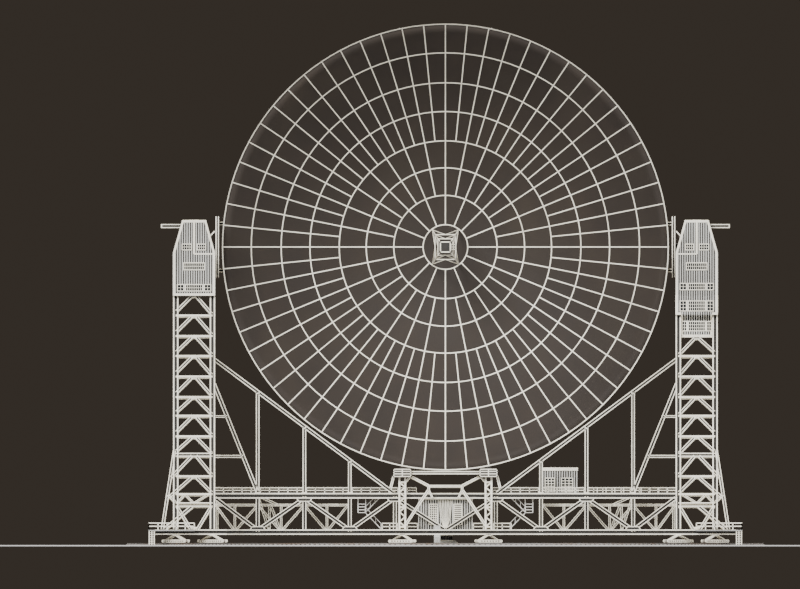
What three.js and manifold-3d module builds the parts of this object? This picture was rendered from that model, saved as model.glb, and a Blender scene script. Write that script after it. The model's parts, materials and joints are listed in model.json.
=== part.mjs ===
import * as THREE from "three";
import { mergeVertices } from "three/addons/utils/BufferGeometryUtils.js";
import Module from "manifold-3d";

// Fully steerable radio telescope, a scale model at 1:10.
// Sizes below are the real telescope's, in metres. Heights count from the top of the rails.
// The viewer stands at -Y. The dish looks at -Y, level with the horizon, and tips up to the zenith.

const MODEL_MM_PER_REAL_METRE = 100;
const GAP = 0.003;
const FAR = 90;

const RAIL_HEIGHT = 0.3;
const OUTER_TRACK_RADIUS = 53.8;
const SECOND_TRACK_RADIUS = 48.6;
const INNER_TRACK_RADIUS = 11.6;
const TRACK_WIDTH = 1.2;
const TRACK_SIDES = 48;
const INNER_TRACK_SIDES = 32;

const AXIS_HEIGHT = 50.5;
const DISH_RADIUS = 38.1;
const FOCAL_LENGTH = 19.05;
const DISH_DEPTH = DISH_RADIUS ** 2 / (4 * FOCAL_LENGTH);
const DISH_SKIN = 0.25;
const DISH_SIDES = 64;
const DISH_RINGS = [0, 3.8, 13.5, 23.1, 31.0, DISH_RADIUS];

const TOWER_X = 42.85;
const TOWER_HALF = 3.13;
const LEG_WIDTH = 0.87;
const FOOT_Y = 28.0;
const HEAD_Y = 4.0;
const FOOT_Z = 2.28;
const HEAD_Z = 42.2;
const RIGHT_HEAD_Z = 38.95;
const SKIRT_BOTTOM = 35.1;
const POST_Y = 5.0;
const SIDE_THICKNESS = 0.5;
const TOWER_INNER_X = TOWER_X - TOWER_HALF - SIDE_THICKNESS / 2;
const TOWER_LEVELS = [38.7, 35.2, 31.8, 28.3, 24.8, 21.6, 18.1, 14.95, 11.3, 8.25];
const LOWEST_LEVEL = 8.25;
const HEAVY_LEVEL = 14.95;
const FOOT_PAIR = [6.2, 6.75];
const SIDE_LEVELS = [2.6, 11.3, 21.6, 31.8, 38.7];
const POST_TOP = 39.4;
const APEX_HALF = 0.35;
const FOOT_INSET = 0.15;
const PROP_LEAN = 0.13;

const CHORD_BOTTOM = 1.5;
const CHORD_HEIGHT = 0.78;
const CHORD_TOP = CHORD_BOTTOM + CHORD_HEIGHT;
const GIRDER_TOP = 8.5;
const DECK_TOP = 8.6;
const CHORD_END = 49.6;
const GIRDER_Y = 5.0;
const TRUSS_THICKNESS = 0.6;
const TRUSS_TOP_NODES = [39.3, 24.05, 8.6];
const TRUSS_BOTTOM_NODES = [32.0, 16.3, 0];
const TRUSS_POSTS = [32.0, 24.05, 16.3, 8.6];
const FLOOR_BEAMS = [16.3, 24.05, 32.0, 38.9];
const SECOND_TOP_NODES = [39.2, 32.0, 24.05, 16.6];
const SECOND_BOTTOM_NODES = [35.9, 28.0, 20.2];

const COLUMN_X = 7.35;
const COLUMN_FOOT_Y = 9.0;
const COLUMN_HEAD_Y = 6.0;
const COLUMN_HEAD_Z = 10.3;
const ROLLER_BOX_BOTTOM = 11.3;
const ROLLER_BOX_TOP = 12.7;

const WHEEL_OUTER = 37.5;
const WHEEL_INNER = 35.3;
const WHEEL_WIDTH = 1.2;
const RACK_RADIUS = 5.25;
const TRUNNION_RADIUS = 0.6;
const RACK_INNER_X = 38.62;
const RACK_OUTER_X = 39.18;

const X_AXIS = new THREE.Vector3(1, 0, 0);
const Y_AXIS = new THREE.Vector3(0, 1, 0);

const wasm = await Module();
wasm.setup();

const vector = (x, y, z) => new THREE.Vector3(x, y, z).multiplyScalar(MODEL_MM_PER_REAL_METRE);

// A closed geometry in real metres becomes a solid in model millimetres, its faces pointing out.
function solidFrom(geometry, scale = MODEL_MM_PER_REAL_METRE) {
  const bare = geometry.clone();
  bare.deleteAttribute("normal");
  bare.deleteAttribute("uv");
  bare.scale(scale, scale, scale);
  const merged = mergeVertices(bare, 1e-3);
  const points = merged.attributes.position.array;
  const corners = merged.index.array;
  let volume = 0;
  const kept = [];
  for (let i = 0; i < corners.length; i += 3) {
    const [a, b, c] = [corners[i], corners[i + 1], corners[i + 2]];
    if (a === b || b === c || c === a) continue;
    kept.push(a, b, c);
    const p = new THREE.Vector3().fromArray(points, a * 3);
    const q = new THREE.Vector3().fromArray(points, b * 3);
    const r = new THREE.Vector3().fromArray(points, c * 3);
    volume += p.dot(q.cross(r));
  }
  if (volume < 0) kept.reverse();
  const vertProperties = new Float32Array(points);
  const triVerts = new Uint32Array(kept);
  return new wasm.Manifold(new wasm.Mesh({ numProp: 3, vertProperties, triVerts }));
}

// A square bar from a to b. Its width lies across the plane's normal, its depth along it.
function bar(a, b, width, depth, normal) {
  const from = vector(...a);
  const to = vector(...b);
  const along = to.clone().sub(from);
  const length = along.length();
  along.normalize();
  const side = new THREE.Vector3().crossVectors(normal, along).normalize();
  const out = new THREE.Vector3().crossVectors(along, side);
  const scale = MODEL_MM_PER_REAL_METRE;
  const geometry = new THREE.BoxGeometry(width * scale, depth * scale, length);
  const place = new THREE.Matrix4().makeBasis(side, out, along);
  place.setPosition(from.add(to).multiplyScalar(0.5));
  geometry.applyMatrix4(place);
  return solidFrom(geometry, 1);
}

function block(low, high) {
  const size = high.map((value, i) => value - low[i]);
  const middle = high.map((value, i) => (value + low[i]) / 2);
  return solidFrom(new THREE.BoxGeometry(...size).translate(...middle));
}

// An outline in the XZ plane, given as [x, z] corners, pushed from y = near to y = far.
function prismAlongY(outline, near, far) {
  const shape = new THREE.Shape(outline.map(([x, z]) => new THREE.Vector2(x, z)));
  const geometry = new THREE.ExtrudeGeometry(shape, { depth: far - near, bevelEnabled: false });
  geometry.rotateX(Math.PI / 2);
  geometry.translate(0, far, 0);
  return solidFrom(geometry);
}

// An outline in the YZ plane, given as [y, z] corners, pushed from x = near to x = far.
function prismAlongX(outline, near, far) {
  const shape = new THREE.Shape(outline.map(([y, z]) => new THREE.Vector2(y, z)));
  const geometry = new THREE.ExtrudeGeometry(shape, { depth: far - near, bevelEnabled: false });
  geometry.rotateX(Math.PI / 2);
  geometry.rotateZ(Math.PI / 2);
  geometry.translate(near, 0, 0);
  return solidFrom(geometry);
}

// A profile of [radius, height] points turned about the vertical axis.
function turnedAboutZ(profile, sides) {
  const geometry = new THREE.LatheGeometry(profile.map(([r, z]) => new THREE.Vector2(r, z)), sides);
  geometry.rotateX(Math.PI / 2);
  return solidFrom(geometry);
}

// A profile of [radius, depth] points turned about the dish's own axis, which lies along Y.
function turnedAboutDish(profile, sides = DISH_SIDES) {
  const geometry = new THREE.LatheGeometry(profile.map(([r, y]) => new THREE.Vector2(r, y)), sides);
  geometry.translate(0, 0, AXIS_HEIGHT);
  return solidFrom(geometry);
}

function cylinderAlongX(radius, near, far, sides) {
  const geometry = new THREE.CylinderGeometry(radius, radius, Math.abs(far - near), sides);
  geometry.rotateZ(Math.PI / 2);
  geometry.translate((near + far) / 2, 0, AXIS_HEIGHT);
  return solidFrom(geometry);
}

// Bars that cross differ a little in depth, so that no two of their faces lie in one plane.
function stagger(index) {
  return (index % 9) * 0.012;
}

function join(solids) {
  return solids.reduce((whole, next) => whole.add(next));
}

const scene = new THREE.Group();
scene.position.z = RAIL_HEIGHT * MODEL_MM_PER_REAL_METRE;

const FINISHES = {
  steel: { color: 0xd9d8d2, roughness: 0.55, metalness: 0.1 },
  skin: { color: 0x5c6064, roughness: 0.6, metalness: 0.2 },
  cladding: { color: 0xb9bbb8, roughness: 0.6, metalness: 0.15 },
  machine: { color: 0x8c9092, roughness: 0.5, metalness: 0.4 },
  rail: { color: 0x6d6a66, roughness: 0.5, metalness: 0.7 },
  deck: { color: 0x9a9c9a, roughness: 0.7, metalness: 0.3 },
  concrete: { color: 0xa8a59c, roughness: 0.9, metalness: 0.0 },
};

function place(name, solid, finish) {
  const made = solid.getMesh();
  const geometry = new THREE.BufferGeometry();
  geometry.setAttribute("position", new THREE.BufferAttribute(made.vertProperties, 3));
  geometry.setIndex(new THREE.BufferAttribute(made.triVerts, 1));
  geometry.computeVertexNormals();
  const mesh = new THREE.Mesh(geometry, new THREE.MeshStandardMaterial(FINISHES[finish]));
  mesh.name = name;
  scene.add(mesh);
}

const SIDES = [["left", -1], ["right", 1]];
const ENDS = [["front", -1], ["rear", 1]];

// Circular tracks and the fixed pivot, which stay on the ground.

function track(radius, sides) {
  const inside = radius - TRACK_WIDTH / 2;
  const outside = radius + TRACK_WIDTH / 2;
  const profile = [
    [inside, -RAIL_HEIGHT], [outside, -RAIL_HEIGHT], [outside, 0], [inside, 0], [inside, -RAIL_HEIGHT],
  ];
  return turnedAboutZ(profile, sides);
}

function pivotBase() {
  const plinth = { radius: 2.1, top: 0.45 };
  const pillarRadius = 1.3;
  const pillarTop = CHORD_BOTTOM - GAP;
  const profile = [
    [0, -RAIL_HEIGHT], [plinth.radius, -RAIL_HEIGHT], [plinth.radius, plinth.top],
    [pillarRadius, plinth.top], [pillarRadius, pillarTop], [0, pillarTop],
  ];
  return turnedAboutZ(profile, 24);
}

// Towers. The legs lean together from front and rear, so each front and rear face is a sloping plane.

const legY = (z) => FOOT_Y - ((z - FOOT_Z) * (FOOT_Y - HEAD_Y)) / (HEAD_Z - FOOT_Z);
const BELOW_FOOT = 1.2;
const ABOVE_HEAD = 43.4;
const headOf = (side) => (side < 0 ? HEAD_Z : RIGHT_HEAD_Z);

function slopeNormal(end) {
  const along = new THREE.Vector3(0, end * (HEAD_Y - FOOT_Y), HEAD_Z - FOOT_Z).normalize();
  return new THREE.Vector3().crossVectors(X_AXIS, along);
}

function onSlope(side, end) {
  return (x, z) => [side * x, end * legY(z), z];
}

function legs(side, end, spare = 0) {
  const at = onSlope(side, end);
  const size = LEG_WIDTH + 2 * spare;
  return [TOWER_X - TOWER_HALF, TOWER_X + TOWER_HALF].map((x) => (
    bar(at(x, BELOW_FOOT), at(x, ABOVE_HEAD), size, size, slopeNormal(end))
  ));
}

function trimmedToTower(solid, side) {
  const under = block([-FAR, -FAR, -FAR], [FAR, FAR, FOOT_Z + GAP]);
  const over = block([-FAR, -FAR, headOf(side) - GAP], [FAR, FAR, FAR]);
  return solid.subtract(under).subtract(over);
}

function towerFace(side, end) {
  const at = onSlope(side, end);
  const normal = slopeNormal(end);
  const inner = TOWER_X - TOWER_HALF;
  const outer = TOWER_X + TOWER_HALF;
  const bars = legs(side, end);
  const brace = (x1, z1, x2, z2, width = 0.45) => {
    bars.push(bar(at(x1, z1), at(x2, z2), width, 0.32 + stagger(bars.length), normal));
  };
  const skirted = side > 0;
  const levels = TOWER_LEVELS.filter((z) => !skirted || z < SKIRT_BOTTOM);
  const tops = [skirted ? SKIRT_BOTTOM - 0.1 : HEAD_Z, ...levels];
  for (const [i, z] of levels.entries()) {
    bars.push(bar(at(inner, z), at(outer, z), z === HEAVY_LEVEL ? 0.7 : 0.35, 0.56, normal));
    const top = tops[i];
    const pitch = ((top - z) / TOWER_HALF) * 0.92;
    const spread = top <= HEAVY_LEVEL ? 0.75 + (HEAVY_LEVEL - top) * PROP_LEAN : -FOOT_INSET;
    const outerFoot = outer + spread;
    brace(TOWER_X - APEX_HALF, top, inner + FOOT_INSET, z + 0.35);
    brace(TOWER_X + APEX_HALF, top, outerFoot, top - (outerFoot - TOWER_X - APEX_HALF) * pitch);
  }
  const [pairLow, pairHigh] = FOOT_PAIR;
  FOOT_PAIR.forEach((z) => bars.push(bar(at(inner, z), at(outer, z), 0.3, 0.56, normal)));
  brace(outer - 0.2, pairHigh, 44.4, LOWEST_LEVEL, 0.3);
  brace(44.4, LOWEST_LEVEL, 42.9, pairHigh, 0.3);
  brace(42.9, pairHigh, 40.4, LOWEST_LEVEL, 0.3);
  brace(outer - 0.2, pairLow, 43.4, FOOT_Z);
  brace(inner + 0.2, pairLow, 42.3, FOOT_Z);
  bars.push(bar(at(46.2, 15.7), at(48.3, FOOT_Z - 0.3), 0.5, 0.44, normal));
  brace(47.35, LOWEST_LEVEL, outer, 6.9, 0.35);
  brace(47.9, FOOT_Z, 43.2, pairLow, 0.6);
  return trimmedToTower(join(bars), side);
}

function towerSide(side, x) {
  const bars = [];
  const push = (y1, z1, y2, z2, width) => {
    const depth = SIDE_THICKNESS - stagger(bars.length);
    bars.push(bar([side * x, y1, z1], [side * x, y2, z2], width, depth, X_AXIS));
  };
  SIDE_LEVELS.forEach((z) => push(-legY(z), z, legY(z), z, 0.55));
  for (const end of [-1, 1]) {
    push(end * POST_Y, FOOT_Z - 0.3, end * POST_Y, POST_TOP, 0.6);
    for (let i = 0; i < 3; i += 1) {
      const lower = SIDE_LEVELS[i];
      push(end * legY(lower), lower, end * POST_Y, SIDE_LEVELS[i + 1], 0.5);
    }
  }
  for (let i = 0; i < 4; i += 1) {
    const lean = i % 2 === 0 ? 1 : -1;
    push(-lean * POST_Y, SIDE_LEVELS[i], lean * POST_Y, SIDE_LEVELS[i + 1], 0.4);
  }
  const cut = join([...legs(side, -1, GAP), ...legs(side, 1, GAP)]);
  return trimmedToTower(join(bars), side).subtract(cut);
}

// A sill across the foot of a tower face, with the two wheel sets that carry it.

const OUTER_WHEELS = { half: 3.8, arm: 2.3, width: 1.0 };
const INNER_WHEELS = { half: 2.6, arm: 1.7, width: 0.9 };

function wheelSet(x, y, { half, arm, width }) {
  const beamTop = 0.75;
  const cap = { half: 0.6, bottom: CHORD_BOTTOM - 0.2, top: CHORD_BOTTOM + 0.1 };
  const bevel = 0.3;
  const right = [
    [half - bevel, GAP], [half, 0.12], [half, beamTop - 0.15], [half - bevel, beamTop],
    [arm, beamTop], [cap.half, cap.bottom], [cap.half, cap.top],
  ];
  const left = right.map(([across, z]) => [-across, z]).reverse();
  const solid = prismAlongY([...right, ...left], -width / 2, width / 2);
  const turn = (Math.atan2(y, x) * 180) / Math.PI + 90;
  return solid.rotate([0, 0, turn]).translate(vector(x, y, 0).toArray());
}

function towerFoot(side, end) {
  const from = side * 37.3;
  const to = side * CHORD_END;
  const y = end * FOOT_Y;
  const sill = block([Math.min(from, to), y - 0.45, CHORD_BOTTOM], [Math.max(from, to), y + 0.45, CHORD_TOP]);
  const wheels = [TOWER_X - TOWER_HALF, TOWER_X + TOWER_HALF].map((x) => wheelSet(side * x, y, OUTER_WHEELS));
  return join([sill, ...wheels]);
}

// Housings that close the tower heads round the tipping gear.

const HOUSING_HALF = 3.57;
const HOUSING_Y = 5.2;
const ROOF_HALF = 2.0;
const ROOF_Z = 55.0;
const SHOULDER_Z = 49.5;
const SKIRT_HALF = 2.6;

function housingOutline(side, bottom) {
  const corners = [
    [-HOUSING_HALF, bottom], [HOUSING_HALF, bottom], [HOUSING_HALF, SHOULDER_Z],
    [ROOF_HALF, ROOF_Z], [-ROOF_HALF, ROOF_Z], [-HOUSING_HALF, SHOULDER_Z],
  ];
  return corners.map(([x, z]) => [side * TOWER_X + x, z]);
}

// The right housing reaches lower: it widens with the legs, and a skirt hangs between them.
function housing(side) {
  const bottom = headOf(side);
  const widest = HOUSING_Y + legY(bottom) - legY(HEAD_Z);
  let solid = prismAlongY(housingOutline(side, bottom), -widest, widest);
  if (side > 0) {
    for (const end of [-1, 1]) {
      const spare = [[HOUSING_Y, HEAD_Z], [widest, bottom], [FAR, bottom], [FAR, FAR], [HOUSING_Y, FAR]];
      const near = TOWER_X - 2 * HOUSING_HALF;
      const far = TOWER_X + 2 * HOUSING_HALF;
      solid = solid.subtract(prismAlongX(spare.map(([y, z]) => [end * y, z]), near, far));
    }
    const behindFace = (z) => legY(z) - 0.62;
    const top = bottom + 0.5;
    const outline = [
      [-behindFace(SKIRT_BOTTOM), SKIRT_BOTTOM], [behindFace(SKIRT_BOTTOM), SKIRT_BOTTOM],
      [behindFace(top), top], [-behindFace(top), top],
    ];
    solid = solid.add(prismAlongX(outline, TOWER_X - SKIRT_HALF, TOWER_X + SKIRT_HALF));
  }
  const bore = cylinderAlongX(TRUNNION_RADIUS + 0.007, side * 39.0, side * 40.4, 32);
  return solid.subtract(bore);
}

function jib(side) {
  const [inner, outer] = [side * 44.5, side * 48.5];
  const beam = block([Math.min(inner, outer), -0.35, 53.73], [Math.max(inner, outer), 0.35, 54.41]);
  const grown = housingOutline(side, HEAD_Z).map(([x, z]) => [x + side * GAP * 1.1, z]);
  return beam.subtract(prismAlongY(grown, -HOUSING_Y, HOUSING_Y));
}

const PLATFORM = { inner: 42.7, outer: 50.6, width: 1.3, bottom: 2.12, top: 2.28 };
const STRINGERS = [49.6, 50.5];

function endPlatform(side, end) {
  const near = end * (FOOT_Y + 0.45 + GAP);
  const far = near + end * PLATFORM.width;
  const inner = side * PLATFORM.inner;
  const outer = side * PLATFORM.outer;
  const ladderY = far - end * 0.15;
  const pieces = [block(
    [Math.min(inner, outer), Math.min(near, far), PLATFORM.bottom],
    [Math.max(inner, outer), Math.max(near, far), PLATFORM.top],
  )];
  for (const x of STRINGERS) {
    pieces.push(bar([side * x, ladderY, -RAIL_HEIGHT], [side * x, ladderY, 2.2], 0.14, 0.2, X_AXIS));
  }
  for (let z = 0.1; z < 2.0; z += 0.6) {
    const [from, to] = STRINGERS.map((x) => [side * x, ladderY, z]);
    pieces.push(bar(from, to, 0.1, 0.1, Y_AXIS));
  }
  return join(pieces);
}

// The long girder between the towers.

function mainTruss(end) {
  const y = end * GIRDER_Y;
  const half = TRUSS_THICKNESS / 2;
  const topEnd = TOWER_INNER_X - GAP;
  const pieces = [
    block([-topEnd, y - half, GIRDER_TOP - 0.8], [topEnd, y + half, GIRDER_TOP]),
    block([-CHORD_END, y - half, CHORD_BOTTOM], [CHORD_END, y + half, CHORD_TOP]),
  ];
  const top = GIRDER_TOP - 0.4;
  const bottom = CHORD_BOTTOM + CHORD_HEIGHT / 2;
  const web = (x1, z1, x2, z2) => pieces.push(
    bar([x1, y, z1], [x2, y, z2], 0.65, 0.4 + stagger(pieces.length), Y_AXIS),
  );
  for (const side of [-1, 1]) {
    for (let i = 0; i < 3; i += 1) {
      web(side * TRUSS_TOP_NODES[i], top, side * TRUSS_BOTTOM_NODES[i], bottom);
      if (i < 2) web(side * TRUSS_BOTTOM_NODES[i], bottom, side * TRUSS_TOP_NODES[i + 1], top);
    }
    for (const x of TRUSS_POSTS) web(side * x, bottom, side * x, top);
  }
  const wall = TOWER_INNER_X - GAP;
  const beyond = [[-FAR, -wall], [wall, FAR]].map(([low, high]) => block([low, y - 1, 3], [high, y + 1, 9]));
  return beyond.reduce((whole, cut) => whole.subtract(cut), join(pieces));
}

const FLOOR_HALF = GIRDER_Y - TRUSS_THICKNESS / 2 - GAP;

function crossBeam(x, z, height) {
  return block([x - 0.25, -FLOOR_HALF, z - height], [x + 0.25, FLOOR_HALF, z]);
}

function floorFrame(side) {
  const pieces = [];
  for (const x of FLOOR_BEAMS) {
    pieces.push(crossBeam(side * x, CHORD_TOP, 0.7));
    pieces.push(crossBeam(side * x, GIRDER_TOP, 0.7));
    pieces.push(block([side * x - 0.2, -0.2, CHORD_TOP - 0.3], [side * x + 0.2, 0.2, GIRDER_TOP - 0.3]));
  }
  const [low, high] = [side * 16.1, side * (TOWER_INNER_X - GAP)].sort((a, b) => a - b);
  pieces.push(block([low, -0.22, 1.7], [high, 0.22, 2.2]));
  pieces.push(block([low, -0.22, 6.3], [high, 0.22, 6.7]));
  for (let i = 0; i < 3; i += 1) {
    const foot = side * SECOND_BOTTOM_NODES[i];
    const heads = [side * SECOND_TOP_NODES[i], foot, side * SECOND_TOP_NODES[i + 1]];
    for (const head of heads) {
      const depth = 0.28 + stagger(pieces.length);
      pieces.push(bar([foot, 0, 2.0], [head, 0, 6.5], 0.4, depth, Y_AXIS));
    }
  }
  return join(pieces);
}

function centreFloor() {
  const pieces = [-8.6, 8.6].map((x) => crossBeam(x, CHORD_TOP, 0.7));
  pieces.push(crossBeam(0, CHORD_TOP, CHORD_HEIGHT));
  for (const y of [-1.4, 1.4]) {
    pieces.push(block([-8.7, y - 0.2, CHORD_TOP - 0.5], [8.7, y + 0.2, CHORD_TOP - 0.05]));
  }
  return join(pieces);
}

function walkway(side) {
  const inner = side < 0 ? 4.9 : 8.0;
  const [low, high] = [side * inner, side * (TOWER_INNER_X - GAP)].sort((a, b) => a - b);
  const deck = block([low, -1.2, GIRDER_TOP + GAP], [high, 1.2, DECK_TOP]);
  if (side < 0) return deck;
  return deck.add(block([15.9, 1.1, GIRDER_TOP + GAP], [24.4, 4.5, DECK_TOP]));
}

function girderHut() {
  return block([16.6, 1.3, DECK_TOP + GAP], [22.4, 4.4, 12.85]);
}

// Struts that lean from the towers on to the girder, with their hangers.

function rakingFrame(side, end) {
  const y = end * GIRDER_Y;
  const at = (x, z) => [side * x, y, z];
  const beamTop = { x: 39.6, z: 31.63 };
  const beamFoot = { x: 8.2, z: 8.1 };
  const slope = (beamTop.z - beamFoot.z) / (beamTop.x - beamFoot.x);
  const pieces = [bar(at(beamTop.x, beamTop.z), at(beamFoot.x, beamFoot.z), 0.6, 0.5, Y_AXIS)];
  for (const x of TRUSS_POSTS.slice(0, 3)) {
    const z = beamFoot.z + (x - beamFoot.x) * slope;
    pieces.push(bar(at(x, 8.0), at(x, z), 0.6, 0.42, Y_AXIS));
  }
  pieces.push(bar(at(39.6, 27.85), at(31.8, 8.1), 0.65, 0.46, Y_AXIS));
  pieces.push(bar(at(39.6, 21.6), at(37.2, 21.6), 0.5, 0.34, Y_AXIS));
  pieces.push(bar(at(39.6, 14.8), at(34.5, 14.8), 0.5, 0.34, Y_AXIS));
  const [low, high] = [side * FAR, side * (TOWER_INNER_X - GAP)].sort((a, b) => a - b);
  const tower = block([low, y - 2, 0], [high, y + 2, FAR]);
  const girder = block([-FAR, y - 2, 0], [FAR, y + 2, GIRDER_TOP + GAP]);
  return join(pieces).subtract(tower).subtract(girder);
}

// Centre supports under the dish, which carry the rollers for its wheel girders.

const COLUMN_LEAN = (COLUMN_FOOT_Y - COLUMN_HEAD_Y) / (COLUMN_HEAD_Z - CHORD_BOTTOM);
const columnY = (z) => COLUMN_FOOT_Y - (z - CHORD_BOTTOM) * COLUMN_LEAN;

function centreFace(end) {
  const at = (x, z) => [x, end * columnY(z), z];
  const along = new THREE.Vector3(0, end * (COLUMN_HEAD_Y - COLUMN_FOOT_Y), COLUMN_HEAD_Z - CHORD_BOTTOM);
  const normal = new THREE.Vector3().crossVectors(X_AXIS, along.normalize());
  const pieces = [];
  const push = (x1, z1, x2, z2, width, depth = 0.36) => {
    pieces.push(bar(at(x1, z1), at(x2, z2), width, depth + stagger(pieces.length), normal));
  };
  for (const side of [-1, 1]) {
    for (const x of [COLUMN_X - 0.5, COLUMN_X + 0.5]) push(side * x, 2.0, side * x, 11.5, 0.3, 0.5);
    for (const z of [4.0, 6.2, 8.4, 10.4]) push(side * (COLUMN_X - 0.5), z, side * (COLUMN_X + 0.5), z, 0.25);
    push(side * 5.5, 11.4, side * 2.86, 9.75, 0.4);
    push(side * 2.86, 9.8, side * 2.86, 8.9, 0.3);
    push(side * 2.86, 9.1, side * (COLUMN_X - 0.5), 3.0, 0.35);
  }
  push(-2.9, 9.68, 2.9, 9.68, 0.36);
  push(-COLUMN_X, 11.2, COLUMN_X, 11.2, 0.4);
  push(-COLUMN_X - 0.6, 2.55, COLUMN_X + 0.6, 2.55, 0.5, 0.5);
  const under = block([-FAR, -FAR, -FAR], [FAR, FAR, CHORD_TOP + GAP]);
  const over = block([-FAR, -FAR, ROLLER_BOX_BOTTOM - GAP], [FAR, FAR, FAR]);
  return join(pieces).subtract(under).subtract(over);
}

function centreFoot(end) {
  const y = end * COLUMN_FOOT_Y;
  const footing = block([-10, y - 0.5, CHORD_BOTTOM], [10, y + 0.5, CHORD_TOP]);
  const inward = end * (GIRDER_Y + TRUSS_THICKNESS / 2 + GAP);
  const [near, far] = [Math.min(inward, y), Math.max(inward, y)];
  const outriggers = [-COLUMN_X, COLUMN_X].map((x) => (
    block([x - 0.3, near, CHORD_BOTTOM + 0.05], [x + 0.3, far, CHORD_TOP - 0.05])
  ));
  const wheels = [-COLUMN_X, COLUMN_X].map((x) => wheelSet(x, y, INNER_WHEELS));
  return join([footing, ...outriggers, ...wheels]);
}

function rollerBox(side) {
  const x = side * COLUMN_X;
  const box = block([x - 1.52, -7.2, ROLLER_BOX_BOTTOM], [x + 1.52, 7.2, ROLLER_BOX_TOP]);
  const rollers = [-1.6, 1.6].map((y) => {
    const geometry = new THREE.CylinderGeometry(0.45, 0.45, 0.9, 16);
    geometry.rotateZ(Math.PI / 2);
    geometry.translate(x, y, 12.5);
    return solidFrom(geometry);
  });
  return join([box, ...rollers]);
}

function headBeam(end) {
  const y = end * 6.3;
  const inner = COLUMN_X - 1.52 - GAP;
  return block([-inner, y - 0.35, 11.75], [inner, y + 0.35, 12.3]);
}

function cabin() {
  return block([-4.55, -4.2, CHORD_TOP + GAP], [4.55, 4.2, 7.6]);
}

// The dish and everything that tips with it.

const dishFront = (r) => DISH_DEPTH * (1 - (r / DISH_RADIUS) ** 2);

function reflector() {
  const front = DISH_RINGS.map((r) => [r, dishFront(r)]);
  const back = DISH_RINGS.map((r) => [r, dishFront(r) + DISH_SKIN]).reverse();
  return turnedAboutDish([...front, ...back]);
}

function behindDish(spare) {
  const front = DISH_RINGS.map((r) => [r, dishFront(r) + spare]);
  return turnedAboutDish([...front, [DISH_RADIUS, 60], [0, 60]]);
}

function beforeDishBack(spare) {
  const back = DISH_RINGS.map((r) => [r, dishFront(r) + DISH_SKIN + spare]).reverse();
  return turnedAboutDish([[0, -30], [DISH_RADIUS + 2, -30], [DISH_RADIUS + 2, spare + DISH_SKIN], ...back]);
}

const RIM_INNER = 36.7;
const RIM_OUTER = 38.0;
const RIM_BACK = 2.6;

function rimGirder(spare = 0) {
  const profile = [
    [RIM_INNER - spare, 0.2], [RIM_OUTER + spare, 0.2], [RIM_OUTER + spare, RIM_BACK + spare],
    [RIM_INNER - spare, RIM_BACK + spare], [RIM_INNER - spare, 0.2],
  ];
  return turnedAboutDish(profile);
}

const HUB_RADIUS = 3.2;
const HUB_BACK = 26.8;

function hubDrum(spare = 0) {
  const radius = HUB_RADIUS + spare;
  return turnedAboutDish([[0, 18.5], [radius, 18.5], [radius, HUB_BACK + spare], [0, HUB_BACK + spare]], 24);
}

const RIB_COUNT = 24;
const RIB_POINTS = [[2.6, 26.2], [20.0, 19.5], [37.4, 2.0]];
const RIB_WIDTHS = [0.6, 0.5];

const turnAt = (i) => (i * 2 * Math.PI) / RIB_COUNT;

function backFrame(spare = 0) {
  const tie = 0.4 + 2 * spare;
  const pieces = [];
  const point = (i, [r, y]) => [r * Math.cos(turnAt(i)), y, AXIS_HEIGHT + r * Math.sin(turnAt(i))];
  for (let i = 0; i < RIB_COUNT; i += 1) {
    const across = new THREE.Vector3(Math.sin(turnAt(i)), 0, -Math.cos(turnAt(i)));
    for (const [k, width] of RIB_WIDTHS.entries()) {
      const rib = width + 2 * spare;
      pieces.push(bar(point(i, RIB_POINTS[k]), point(i, RIB_POINTS[k + 1]), rib, rib, across));
    }
    const between = turnAt(i + 0.5);
    const outward = new THREE.Vector3(Math.cos(between), 0.8, Math.sin(between)).normalize();
    pieces.push(bar(point(i, RIB_POINTS[1]), point(i + 1, RIB_POINTS[1]), tie, tie, outward));
  }
  return join(pieces).subtract(rimGirder(GAP)).subtract(hubDrum(GAP));
}

// Two half-round girders behind the dish, which run over the rollers, and the bracing between them.

const radians = (degrees) => (degrees * Math.PI) / 180;
const WHEEL_MIDDLE = (WHEEL_OUTER + WHEEL_INNER) / 2;
const WHEEL_STEPS = 28;
const WHEEL_ENDS = [radians(4), radians(176)];
const SPOKES = [[5.2, 80], [14.5, 60], [27.0, 35]];
const WHEEL_TIES = [18, 54, 90, 126, 162];
const onWheel = (x, radius, angle) => [x, radius * Math.sin(angle), AXIS_HEIGHT - radius * Math.cos(angle)];

function wheelRing(side, spare = 0) {
  const [first, last] = WHEEL_ENDS;
  const step = (last - first) / WHEEL_STEPS;
  const angles = Array.from({ length: WHEEL_STEPS + 1 }, (_, i) => first + i * step);
  const arc = (radius) => angles.map((angle) => (
    new THREE.Vector2(radius * Math.sin(angle), -radius * Math.cos(angle))
  ));
  const shape = new THREE.Shape([...arc(WHEEL_OUTER), ...arc(WHEEL_INNER).reverse()]);
  const depth = WHEEL_WIDTH + 2 * spare;
  const ring = new THREE.ExtrudeGeometry(shape, { depth, bevelEnabled: false });
  ring.rotateX(Math.PI / 2);
  ring.rotateZ(Math.PI / 2);
  ring.translate(side * COLUMN_X - depth / 2, 0, AXIS_HEIGHT);
  return solidFrom(ring);
}

function wheelGirder(side) {
  const x = side * COLUMN_X;
  const pieces = [wheelRing(side)];
  for (const [z, degrees] of SPOKES) {
    const root = dishFront(Math.hypot(COLUMN_X, z)) - 1;
    for (const half of [-1, 1]) {
      const angle = half < 0 ? radians(degrees) : Math.PI - radians(degrees);
      pieces.push(bar([x, root, AXIS_HEIGHT + half * z], onWheel(x, WHEEL_MIDDLE, angle), 0.6, 0.5, X_AXIS));
    }
  }
  return join(pieces).subtract(beforeDishBack(GAP)).subtract(backFrame(GAP)).subtract(rimGirder(GAP));
}

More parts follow.
